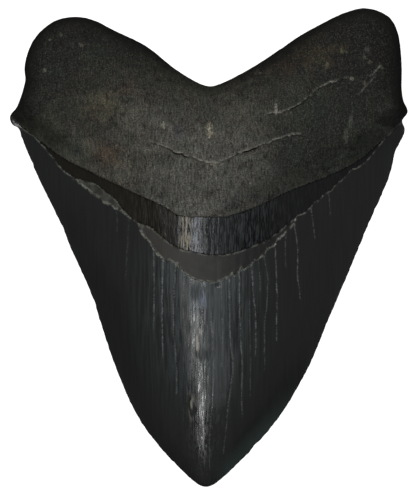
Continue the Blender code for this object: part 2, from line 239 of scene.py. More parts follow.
def crown_across(at):
    """Where each point lies between the cutting edges: -1 at the left, 0 on the crest, 1 at the right."""
    left, right = edge_at(LEFT_EDGE, at[:, 1]), edge_at(RIGHT_EDGE, at[:, 1])
    width = np.maximum(right - left, LEAST_WIDTH)
    midway = np.clip((2 * at[:, 0] - left - right) / width, -1.0, 1.0)
    crest = np.clip((2 * edge_at(CREST, at[:, 1]) - left - right) / width, -CREST_SWAY, CREST_SWAY)
    return midway - crest * (1 - midway ** 2)


def lobe_height(y):
    return between(LOBE_THICKNESS, LOBE_END_THICKNESS, ease(shoulder_y, top_y, y))


def rim_height(y):
    """The outline's height above the table: low along the cutting edges, partway up the root's side."""
    places, heights = zip((tip_y, TIP_HEIGHT), *BLADE_HEIGHTS, (shoulder_y, SHOULDER_HEIGHT))
    blade = np.interp(y, places, heights)
    return between(blade, ROOT_RIM * lobe_height(y), ease(shoulder_y - 2, shoulder_y + 12, y))


def rootness(at):
    """0 on the crown and 1 well up the root, counted from the root's margin."""
    return ease(-0.5, 9.0, at[:, 1] - line_height(ROOT_MARGIN, at[:, 0]))


def rounded(inward, reach):
    """The root's quarter-round edge: 0 on the outline and 1 where the rounding ends."""
    return np.sqrt(1 - (1 - np.clip(inward / reach, 0.0, 1.0)) ** 2)


def grained(at, *grains):
    """The sum of several sizes of unevenness, each given by its depth and by what lumps takes."""
    return sum(depth * lumps(at, *shape) for depth, *shape in grains)


def lingual_body(at, inward):
    """The upper face without its ledges, cracks and grain."""
    x, y = at[:, 0], at[:, 1]
    rim, root = rim_height(y), rootness(at)
    enamel_end = line_height(ENAMEL_EDGE, 0.0)
    up_crown = np.clip((y - tip_y) / (enamel_end - tip_y), 0.0, 1.0)
    dome = CROWN_THICKNESS * np.sin(math.pi / 2 * up_crown ** DOME_CURVE) + NECK_RISE * ease(*NECK, y)
    crown_shape = np.maximum(1 - crown_across(at) ** 2, 0.0) ** BLADE_THINNESS
    below_peak = np.minimum(y - PEAK_Y, 0) / SWELLING_BELOW
    above_peak = np.maximum(y - PEAK_Y, 0) / SWELLING_ABOVE
    swelling = np.exp(-(x / SWELLING_WIDTH) ** 2 - below_peak ** 2 - above_peak ** 2)
    root_level = between(lobe_height(y), ROOT_PEAK, swelling) + grained(at, *LINGUAL_UNEVENNESS)
    level = between(dome, root_level - rim, root)
    rise = level * between(crown_shape, rounded(inward, LINGUAL_ROUNDING), root)
    return rim + np.maximum(rise, LEAST_SLOPE * np.minimum(inward, SLOPE_REACH))


def labial_body(at, inward):
    """The lower face without its ledge and grain."""
    x, y = at[:, 0], at[:, 1]
    rim, root = rim_height(y), rootness(at)
    crown_shape = np.maximum(1 - crown_across(at) ** 2, 0.0) ** 0.8 * ease(0.0, 16.0, y - tip_y)
    bulge = (rim + CONTACT_PRESS) * between(crown_shape, rounded(inward, LABIAL_ROUNDING), root)
    middle_x, middle_y, reach_x, reach_y = NOTCH_HOLLOW
    hollow = HOLLOW_DEPTH * np.exp(-((x - middle_x) / reach_x) ** 2 - ((y - middle_y) / reach_y) ** 2)
    return rim - bulge + hollow + grained(at, LABIAL_UNEVENNESS) * root


# ---- The ledges: root margin, bourlette, bare dentine band and enamel edge ---------------------------
# The dentine root grew out over the enamel and ends in a raised lip. Below it the bourlette, a dark band of
# thin enamel, runs down to a strip of bare dentine where the cap's enamel has flaked off. The enamel starts
# again at a jagged broken edge. On the labial face it simply ends in a low step.

BAND_TOP = ((-20.3, 6.9), (-18.9, 6.8), (-15.9, 5.6), (-12.3, 2.5), (-10.0, 0.9), (-7.9, -0.1),
            (-3.5, -1.2), (1.8, -1.9), (7.0, -1.2), (12.3, 0.7), (17.6, 3.4), (22.0, 6.9), (24.8, 9.0),
            (26.0, 9.6))
ENAMEL_EDGE = ((-56.0, 36.4), (-46.7, 29.3), (-40.0, 21.4), (-34.3, 17.0), (-28.6, 12.6), (-24.2, 10.2),
               (-19.4, 6.6), (-18.1, 3.8), (-15.0, -0.1), (-12.3, -3.2), (-9.7, -3.7), (-7.5, -5.9),
               (-5.3, -7.8), (-1.8, -9.0), (2.6, -9.0), (5.3, -8.1), (8.2, -6.6), (11.7, -4.5),
               (14.6, -2.8), (16.7, 0.1), (18.5, 1.2), (20.3, 3.3), (22.4, 5.6), (23.8, 7.0), (24.7, 8.9),
               (26.6, 10.0), (28.4, 11.5), (31.3, 14.3), (34.8, 17.1), (39.1, 21.4), (41.6, 22.5),
               (46.5, 27.4), (50.1, 32.0), (56.0, 36.8))
STRIP_TOP = ((-38.2, 19.9), (-36.1, 19.2), (-33.6, 18.3), (-31.6, 17.9), (-28.7, 15.7), (-25.8, 13.4),
             (-24.2, 11.2), (-22.5, 9.4), (-20.8, 7.6))
LABIAL_EDGE = ((-56.0, 38.0), (-46.0, 32.0), (-30.0, 25.5), (-12.0, 22.4), (2.0, 22.0), (16.0, 23.4),
               (33.0, 27.5), (47.0, 33.5), (56.0, 39.0))
# Where the enamel's edge juts up beside a split, and by how much. Each jut is this wide on either side.
EDGE_STEPS = ((-12.5, -0.6), (-9.1, 0.7), (5.6, 0.8), (8.3, 0.9), (11.7, 1.0), (13.7, 0.7), (15.2, 0.9),
              (18.2, 1.2), (23.4, 1.1), (28.2, 0.9), (33.0, -0.6))
EDGE_STEP_WIDTH = 0.7
ROOT_LIP = 0.7
BAND_DEPTH = 0.5
LABIAL_STEP = 0.45
RAIL_GAP = 0.13            # a ledge falls over twice this distance
RAIL_STEP = 0.55


def chipped(points, x, seed, depth):
    """A line across the tooth with small chips and steps, because it breaks along upright cracks."""
    at = np.column_stack((x, np.zeros_like(x)))
    steps = np.round(lumps(at, 1.9, seed) * 3) / 3
    chips = lumps(at, 0.8, seed + 0.5)
    return line_height(points, x) + depth * (0.55 * steps + 0.45 * chips)


def root_margin_at(x):
    return chipped(ROOT_MARGIN, x, seed=50.0, depth=0.16)


def enamel_edge_at(x):
    """The broken edge, which steps from one upright split to the next."""
    steps = np.zeros_like(x)
    for place, height in EDGE_STEPS:
        slant = np.clip(1 - np.abs(x - place - EDGE_STEP_WIDTH) / EDGE_STEP_WIDTH, 0, 1)
        steps += height * slant * ease(-0.15, 0.05, x - place)
    return chipped(ENAMEL_EDGE, x, seed=52.0, depth=0.9) + steps


def band_top_at(x):
    """The bourlette's lower edge. Past the bare band's ends it lies on the enamel's edge."""
    middle = chipped(BAND_TOP, x, seed=54.0, depth=0.22)
    strip = chipped(STRIP_TOP, x, seed=56.0, depth=0.2)
    enamel = enamel_edge_at(x)
    in_middle = (x > BAND_TOP[0][0]) & (x < BAND_TOP[-1][0])
    in_strip = (x > STRIP_TOP[0][0]) & (x < STRIP_TOP[-1][0])
    return np.maximum(np.where(in_middle, middle, np.where(in_strip, strip, enamel)), enamel)


def labial_edge_at(x):
    return chipped(LABIAL_EDGE, x, seed=58.0, depth=0.3)


def ledge_rails(height_at, low_x, high_x):
    """Two close rows of points, one to each side of a ledge, which keep it crisp."""
    x = np.arange(low_x, high_x, RAIL_STEP)
    curve = np.column_stack((x, height_at(x)))
    return [curve + RAIL_GAP * sideways(curve), curve - RAIL_GAP * sideways(curve)]


# ---- The cracks, pits and striae ---------------------------------------------------------------------
# Drying and burial cracked the dentine and split the enamel. Four cracks cross the root, each with a pale
# chipped lip, partly painted highlight, above a gap darkened with painted shade. The enamel split upright
# from its broken edge down, and dust fills those splits. The root is pitted where vessels entered, with one
# larger nutrient hole, and its deeper pits are darkened with painted shade too.

LONG_CRACK = ((-17.5, 30.3), (-15.4, 28.7), (-12.0, 27.6), (-8.1, 25.7), (-4.7, 24.8), (-1.3, 23.4),
              (1.3, 23.0), (4.2, 23.8), (6.8, 25.1), (9.8, 26.3), (12.7, 27.4), (16.6, 28.9), (20.8, 30.4),
              (24.7, 31.2), (26.2, 31.2))
SLANT_CRACK = ((14.8, 35.3), (15.7, 36.9), (18.7, 36.9), (22.3, 38.1), (25.8, 40.1), (28.9, 42.8),
               (31.6, 44.7), (34.3, 45.6), (37.9, 46.7), (39.6, 46.6))
SHORT_CRACK = ((40.4, 41.5), (42.4, 43.4), (44.6, 45.8), (46.5, 48.3))
END_CRACK = ((43.8, 46.8), (45.6, 48.1), (48.0, 50.7))
# Each crack with the places where it stands open, as X and reach, and with how plain it is.
ROOT_CRACKS = ((LONG_CRACK, ((-8.2, 2.2), (11.3, 1.9)), 1.3), (SLANT_CRACK, ((24.0, 2.0),), 0.9),
               (SHORT_CRACK, (), 0.45), (END_CRACK, (), 0.7))
LOBE_GROOVE = ((41.5, 41.7), (39.6, 40.3), (38.7, 36.4), (38.2, 33.6), (37.4, 29.7), (36.2, 25.8))
GROOVE_STEPS = ((2.2, 0.45), (0.5, 0.25))    # a wide trough and a narrow one in its middle: reach and depth
NUTRIENT_HOLE = (-0.3, 31.9)
HOLE_RADIUS = 1.7
HOLE_DEPTH = 0.8
CRACK_STEP = 0.16          # the root stands this much higher above a crack
CRACK_DEPTH = 0.5
GAP_MIDDLE, GAP_WIDTH = -0.19, 0.17          # the painted-shade gap, measured up from the crack's line
LIP_MIDDLE, LIP_WIDTH = 0.14, 0.16           # and its pale lip, partly painted highlight
CRACK_RAILS = (-0.42, -0.19, -0.02, 0.12, 0.3)
CRACK_RAIL_STEP = 0.3
EDGE_CHIP = (2.6, -10.2, 0.9, 0.55)          # a chip in the enamel's edge: x, y, radius and depth
SPLIT_WIDTH = 0.2          # from the middle of a split in the enamel to where its dust ends
SPLIT_DEPTH = 0.07
SPLIT_STEP = 0.9
SPLIT_REACH = 3.0          # no split strays further than this from its mean X
# Each split: how much dust it holds, and its course from the enamel's edge towards the tip.
SPLITS = (
    (0.80, ((-15.2, 0.5), (-15.0, -9.0), (-15.2, -22.9))),
    (1.00, ((-12.5, -3.4), (-12.8, -14.0), (-12.7, -27.3), (-12.6, -30.5))),
    (0.75, ((-9.1, -4.6), (-9.7, -22.6), (-9.1, -28.4), (-8.8, -38.7), (-9.1, -41.0))),
    (0.35, ((-6.6, -6.6), (-6.8, -18.0), (-6.4, -27.0))),
    (0.40, ((-4.7, -30.1), (-5.0, -36.0), (-5.2, -41.5))),
    (0.35, ((-2.2, -9.2), (-2.0, -20.0), (-2.3, -31.0))),
    (0.60, ((0.6, -17.9), (1.2, -34.0), (1.0, -40.1), (0.5, -47.6), (0.1, -54.6), (0.3, -61.8))),
    (0.55, ((3.4, -10.1), (3.7, -24.3), (3.4, -33.2))),
    (0.90, ((5.6, -8.4), (5.6, -17.0), (5.9, -24.8), (6.5, -32.6), (5.9, -38.7), (5.2, -44.3),
            (4.7, -51.0), (4.0, -57.6))),
    (1.00, ((8.3, -6.0), (8.4, -15.6), (8.7, -24.8), (9.2, -31.8), (9.0, -40.7), (9.2, -47.1))),
    (0.45, ((11.2, -14.9), (11.4, -28.0), (11.5, -41.5))),
    (1.00, ((11.7, -4.6), (12.3, -13.4), (12.9, -19.5), (12.9, -30.1))),
    (0.45, ((13.7, -4.0), (14.0, -8.0), (14.2, -12.3))),
    (0.60, ((15.2, -3.0), (16.2, -8.1), (15.9, -15.9), (15.4, -20.6), (15.4, -34.3))),
    (0.90, ((18.2, 0.6), (18.7, -8.7), (18.7, -26.2))),
    (0.35, ((21.2, 3.0), (21.1, -1.0), (21.2, -5.9))),
    (0.80, ((23.4, 7.6), (24.5, 0.2), (24.5, -7.0), (25.4, -14.5))),
    (0.60, ((28.2, 10.6), (29.0, 5.5), (29.4, 1.9))),
    (0.30, ((33.0, 15.4), (33.5, 12.0), (33.6, 8.6))),
    (0.25, ((-25.3, 10.4), (-25.2, 7.0), (-25.3, 4.0))),
    (0.25, ((-21.9, 8.0), (-22.6, -2.8), (-23.0, -9.2))),
)
PIT_COUNT = 90
FLUTES = ((0.05, 1.5, 20.0, 20.0), (0.09, 4.0, 21.0, 9.0))     # depth, width, seed and stretch along Y
FLAT_FLANKS = (8.0, 18.0)                    # the flutes fade between these distances from the middle
STRIAE = (0.05, 0.75, 22.0, 9.0)             # the same of the bourlette's relief
LINGUAL_GRAIN = ((0.1, 1.6, 23.0), (0.07, 0.8, 24.0))          # the root's: depth, size and seed
LABIAL_GRAIN = ((0.1, 1.6, 33.0), (0.06, 0.9, 34.0))
BAND_RELIEF = (0.05, 1.3, 25.0)
RIM_FADE = 4.0             # the ledges and the grain fade out over this distance from the outline
pit_draws = np.random.default_rng(11)


def window(value, low, high, fade):
    """1 between low and high, falling to 0 over the fade at each end."""
    return ease(low, low + fade, value) * (1 - ease(high - fade, high, value))


def crack_height(points, x):
    """The Y of a root crack, which runs unevenly around the grains."""
    at = np.column_stack((x, np.zeros_like(x)))
    return line_height(points, x) + 0.45 * lumps(at, 1.7, seed=60.0) + 0.3 * lumps(at, 0.7, seed=61.0)


def root_crack(at, points, gaps, plainness):
    """The relief of a root crack, and how much of its pale lip and of its gap each point has. The lip's
    paleness is partly painted highlight, and the gap's darkness is painted shade.
    """
    x = at[:, 0]
    above = at[:, 1] - crack_height(points, x)
    start, end = points[0][0], points[-1][0]
    there = window(x, start, end, min(3.0, 0.3 * (end - start))) * plainness
    open_here = sum(np.exp(-((x - middle) / reach) ** 4) for middle, reach in gaps)
    gap = np.exp(-((above - GAP_MIDDLE) / GAP_WIDTH) ** 2) * np.clip(0.35 + open_here, 0, 1) * there
    along = np.column_stack((x, np.zeros_like(x)))
    breaks = 0.6 + 1.5 * lumps(along, 0.9, seed=62.0) + 1.3 * lumps(along, 3.2, seed=63.0)
    lip = np.exp(-((above - LIP_MIDDLE) / LIP_WIDTH) ** 2) * there * breaks
    step = CRACK_STEP * ease(-0.12, 0.12, above) * np.exp(-np.maximum(above, 0) / 3.0)
    return there * step - CRACK_DEPTH * gap, np.clip(lip, 0, 1), gap


def split_waver(at):
    """How far a split strays to the side as it follows the enamel's fibres."""
    return 0.12 * lumps(at, 2.5, seed=64.0)


def split_rails():
    """Three close rows of points along each split in the enamel: its middle, and where its dust ends."""
    rails = []
    for _, points in SPLITS:
        curve = smooth_curve(fitted(points), SPLIT_STEP)
        curve[:, 0] += split_waver(curve)
        rails += [curve, curve + SPLIT_WIDTH * sideways(curve), curve - SPLIT_WIDTH * sideways(curve)]
    return rails


def dust_in_splits(at):
    """How much dust lies at each point: most along the middle of a split, none past its sides or ends."""
    dust = np.zeros(len(at))
    for amount, points in SPLITS:
        course = fitted(points)
        near = np.abs(at[:, 0] - course[:, 0].mean()) < SPLIT_REACH
        upward = smooth_curve(course, SPLIT_STEP)[::-1]
        middle = np.interp(at[near, 1], upward[:, 1], upward[:, 0])
        middle += split_waver(np.column_stack((middle, at[near, 1])))
        share = np.clip(1 - np.abs(at[near, 0] - middle) / SPLIT_WIDTH, 0, 1)
        share *= window(at[near, 1], course[-1, 1], course[0, 1] + 1.0, 1.0) * amount
        dust[near] = np.maximum(dust[near], share)
    return dust


def make_pits():
    """Small vessel holes, thickest around the swelling and the notch: x, y, radius and depth of each."""
    pits = [(*fitted([NUTRIENT_HOLE])[0], HOLE_RADIUS, HOLE_DEPTH)]
    while len(pits) < PIT_COUNT:
        x, y = pit_draws.normal(0.0, 24.0), pit_draws.uniform(10.0, 64.0)
        place = np.array([[x, y]])
        radius = pit_draws.uniform(0.22, 0.5)
        if inside(outline, place)[0] and y > line_height(ROOT_MARGIN, x) + 1.5:
            pits.append((x, y, radius, radius * pit_draws.uniform(0.3, 0.8)))
    return pits


pits = make_pits()


def pitted(at):
    """How deep the pits are at each point, in millimetres."""
    depth = np.zeros(len(at))
    for x, y, radius, deep in pits:
        near = (np.abs(at[:, 0] - x) < radius) & (np.abs(at[:, 1] - y) < radius)
        away = np.hypot(at[near, 0] - x, at[near, 1] - y)
        depth[near] = np.maximum(depth[near], deep * (1 - ease(0.0, radius, away)))
    return depth


def above_line(at, height_at, smooth_points):
    """How far each point lies above a line across the tooth, measured square to the line."""
    x = at[:, 0]
    slope = line_height(smooth_points, x + 0.5) - line_height(smooth_points, x - 0.5)
    return (at[:, 1] - height_at(x)) / np.sqrt(1 + slope ** 2)


def lingual_face(at):
    """The upper face: its height, and what its finish needs to know at each point."""
    inward = distance_to(outline, at, closed=True)
    clear = ease(0.0, RIM_FADE, inward)
    margin = above_line(at, root_margin_at, ROOT_MARGIN)
    enamel = above_line(at, enamel_edge_at, ENAMEL_EDGE)
    band = above_line(at, band_top_at, ENAMEL_EDGE)
    on_root = ease(-RAIL_GAP, RAIL_GAP, margin)
    on_enamel = 1 - ease(-RAIL_GAP, RAIL_GAP, enamel)
    in_band = (1 - on_enamel) * (1 - ease(-RAIL_GAP, RAIL_GAP, band))

    height = lingual_body(at, inward)
    height += clear * (ROOT_LIP * on_root * np.exp(-np.maximum(margin, 0) / 8.0) - BAND_DEPTH * in_band)
    flutes = grained(at, *FLUTES) * (1 - 0.8 * ease(*FLAT_FLANKS, np.abs(at[:, 0])))
    striae = grained(at, STRIAE) * (1 - on_enamel) * (1 - in_band)
    height += clear * ((flutes + striae) * (1 - on_root) + grained(at, *LINGUAL_GRAIN) * on_root)
    height += grained(at, BAND_RELIEF) * in_band

    lips, gaps = np.zeros(len(at)), np.zeros(len(at))
    for crack, open_places, plainness in ROOT_CRACKS:
        relief, lip, gap = root_crack(at, crack, open_places, plainness)
        height += relief
        lips, gaps = np.maximum(lips, lip), np.maximum(gaps, gap)
    groove_away = distance_to(smooth_curve(fitted(LOBE_GROOVE), 1.0), at)
    for reach, deep in GROOVE_STEPS:
        height -= deep * (1 - ease(0.0, reach, groove_away))
    depth = pitted(at) * on_root
    x, y, radius, deep = EDGE_CHIP
    chip_away = np.hypot(at[:, 0] - x, (at[:, 1] - y) * 1.5)
    depth += deep * (1 - ease(0.2 * radius, radius, chip_away)) * on_enamel
    dust = dust_in_splits(at) * on_enamel
    height -= depth + SPLIT_DEPTH * dust
    # gap carries painted shade for the cracks' gaps and for the deeper pits.
    finish = {"margin": margin, "enamel": enamel, "band": band, "inward": inward, "dust": dust, "lip": lips,
              "gap": np.maximum(gaps, np.clip(depth - 0.15, 0, 0.3)), "upper": np.ones(len(at))}
    return height, finish


def labial_face(at):
    """The lower face, in the same terms. It has no bourlette and no bare band."""
    inward = distance_to(outline, at, closed=True)
    edge = above_line(at, labial_edge_at, LABIAL_EDGE)
    step = LABIAL_STEP * ease(-RAIL_GAP, RAIL_GAP, edge) * np.exp(-np.maximum(edge, 0) / 5.0)
    grain = sum(depth * np.abs(lumps(at, *shape)) for depth, *shape in LABIAL_GRAIN)
    height = labial_body(at, inward) + ease(0.0, RIM_FADE, inward) * (step + grain * (edge > 0))
    finish = dict.fromkeys(("dust", "lip", "gap", "upper"), np.zeros(len(at)))
    finish.update({"margin": edge, "enamel": edge, "band": edge, "inward": inward})
    return np.maximum(height, 0.0), finish


# ---- The tooth's surface -----------------------------------------------------------------------------
# Enamel and dentine grew as one skin, so both faces are one closed mesh that shares the outline as its rim.
# The domed face is meshed at under half a millimetre, and the flat one, which is plainer, at twice that.

FRONT_STEP = 0.43
BACK_STEP = 0.8
RIM_INSETS = (0.12, 0.35, 0.75, 1.3, 2.0)
# How far each group of points keeps from the outline, and the room that each keeps to earlier points.
FRONT_RAIL_ROOM = (0.25, 0.1)
BACK_RAIL_ROOM = (0.3, 0.15)
RIM_ROOM = (0.1, 0.1)
FRONT_LATTICE_ROOM = (0.1, 0.26)
BACK_LATTICE_ROOM = (0.1, 0.4)
LEDGE_REACH = 54.0         # the rails of a ledge run as far as this to each side
CELL = 0.4                 # the side of the cells in which points that lie too close are found
SHARP_ANGLE = 48.0
ROOT, BOURLETTE, BAND, ENAMEL = range(4)


def rim_rows():
    """Rows of points close inside the outline, which give the lobes their round sides."""
    inward = sideways(np.concatenate((outline[-1:], outline, outline[:1])))[1:-1]
    rows = []
    for inset in RIM_INSETS:
        row = outline + inset * inward
        rows.append(row[distance_to(outline, row, closed=True) > 0.93 * inset])
    return np.concatenate(rows)


def lattice(step):
    """Staggered rows of points that fill the plan."""
    row_gap = step * math.sqrt(3) / 2
    points = []
    for row in range(int((tooth_high[1] - tooth_low[1]) / row_gap) + 1):
        x = np.arange(tooth_low[0] + (row % 2) * step / 2, tooth_high[0], step)
        points.append(np.column_stack((x, np.full_like(x, tooth_low[1] + row * row_gap))))
    return np.concatenate(points)


def lingual_rails():
    """Rows of points along every ledge, crack, split and pit of the domed face."""
    rails = []
    for height_at in (root_margin_at, enamel_edge_at):
        rails += ledge_rails(height_at, -LEDGE_REACH, LEDGE_REACH)
    rails += ledge_rails(band_top_at, STRIP_TOP[0][0], BAND_TOP[-1][0])
    for crack, _, _ in ROOT_CRACKS:
        x = np.arange(crack[0][0], crack[-1][0], CRACK_RAIL_STEP)
        middle = np.column_stack((x, crack_height(crack, x)))
        rails += [middle + (0.0, offset) for offset in CRACK_RAILS]
    rails += split_rails()
    turns = np.linspace(0, 2 * math.pi, 8, endpoint=False)
    ring = np.column_stack((np.cos(turns), np.sin(turns)))
    for x, y, radius, _ in pits:
        rails += [np.array([[x, y]]), (x, y) + radius * 0.5 * ring, (x, y) + radius * ring]
    return np.concatenate(rails)


def sown(groups):
    """The plan's points: the outline, then each group's points that keep their room to all before them."""
    kept = []
    cells = {}
    for points, room in ((outline, 0.0), *groups):
        reach = math.ceil(room / CELL)
        for point in points.tolist():
            column, row = math.floor(point[0] / CELL), math.floor(point[1] / CELL)
            near = (other for i in range(column - reach, column + reach + 1)
                    for j in range(row - reach, row + reach + 1) for other in cells.get((i, j), ()))
            if room == 0.0 or all(math.dist(point, other) > room for other in near):
                kept.append(point)
                cells.setdefault((column, row), []).append(point)
    return kept


def triangulated(groups):
    """Delaunay triangles that fill the outline, with the outline's own points first."""
    points = [Vector(point) for point in sown(groups)]
    loop = [list(range(len(outline)))]
    flat, _, triangles, *_ = delaunay_2d_cdt(points, [], loop, 1, 1e-6)
    return np.array([tuple(point) for point in flat]), np.array(triangles)


def within(points, rooms):
    """The points that lie far enough inside the outline, and the room that they keep to others."""
    from_outline, room = rooms
    points = points[inside(outline, points)]
    return points[distance_to(outline, points, closed=True) > from_outline], room


def finish_of(face_values):
    """The finish of each triangle: root, bourlette, bare band or enamel."""
    margin, enamel, band = (face_values[name] for name in ("margin", "enamel", "band"))
    below_margin = np.where(enamel < 0, ENAMEL, np.where(band > 0, BOURLETTE, BAND))
    return np.where(margin > 0, ROOT, below_margin)


def make_tooth():
    """The closed skin of both faces. Its points carry what the finishes read, each triangle a finish."""
    rim = within(rim_rows(), RIM_ROOM)
    front, front_triangles = triangulated([within(lingual_rails(), FRONT_RAIL_ROOM), rim,
                                           within(lattice(FRONT_STEP), FRONT_LATTICE_ROOM)])
    labial_rails = np.concatenate(ledge_rails(labial_edge_at, -LEDGE_REACH, LEDGE_REACH))
    back, back_triangles = triangulated([within(labial_rails, BACK_RAIL_ROOM), rim,
                                         within(lattice(BACK_STEP), BACK_LATTICE_ROOM)])
    front_height, front_values = lingual_face(front)
    back_height, back_values = labial_face(back)
    shared = len(outline)
    front_height[:shared] = rim_height(front[:shared, 1])

    places = np.concatenate((np.column_stack((front, front_height)),
                             np.column_stack((back, back_height))[shared:]))
    moved = np.where(back_triangles < shared, back_triangles, back_triangles - shared + len(front))
    triangles = np.concatenate((front_triangles, moved[:, ::-1]))
    mesh = bpy.data.meshes.new("tooth_surface")
    mesh.from_pydata(places * MM, [], triangles.tolist())

    for name in front_values:
        values = np.concatenate((front_values[name], back_values[name][shared:]))
        mesh.attributes.new(name, "FLOAT", "POINT").data.foreach_set("value", values)
    finishes = [finish_of({name: values[name][corners].mean(axis=1) for name in values})
                for values, corners in ((front_values, front_triangles), (back_values, back_triangles))]
    mesh.polygons.foreach_set("material_index", np.concatenate(finishes).astype(np.int32))
    mesh.shade_smooth()
    mesh.set_sharp_from_angle(angle=math.radians(SHARP_ANGLE))
    mesh.validate()
    tooth = bpy.data.objects.new("tooth_surface", mesh)
    bpy.context.collection.objects.link(tooth)
    return tooth


tooth = make_tooth()
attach(tooth, "root")
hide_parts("tooth")


# ---- Root dentine ------------------------------------------------------------------------------------
# Root dentine that has turned to phosphate, matt and porous like unglazed stoneware. Mineral stains from
# the mud lie in clouds, from grey to rust and green-black, and handling has left its chipped lips pale.
# Part of those clouds is painted light and shade, paler along the middle and the lower margin and darker by
# the lobes. Painted shade also darkens the lobes' sides, the crack lips are partly painted highlight, and a
# painted teal sheen runs down the right lobe's side.

# Sizes in the stone: the faint clouds in its ground, and the wide and the fine raggedness of the stains
# and of the painted patches.
CLOUD = 7.0
LUMP = 2.6
CLUMP = 0.9
GRAIN = 0.42               # the sandy grain, drawn coarser than the real one so that it shows
GRIT = 0.3                 # the finest grit in it, drawn coarser too
FIBRE = (0.42, 2.6, 2.6)   # upright fibres: width, length and depth
TINT = 3.1
# Small dark pits and pale crumbs: size, where the noise begins and is full, strength and change of colour.
MARKS = ((0.5, 0.42, 0.35, 0.8, 0.25), (0.45, 0.6, 0.67, 0.7, 2.1))
SMALL_STAIN = 3.5          # stains narrower than this are on the domed face alone
CHIP = 1.5                 # and those narrower than this have finer borders
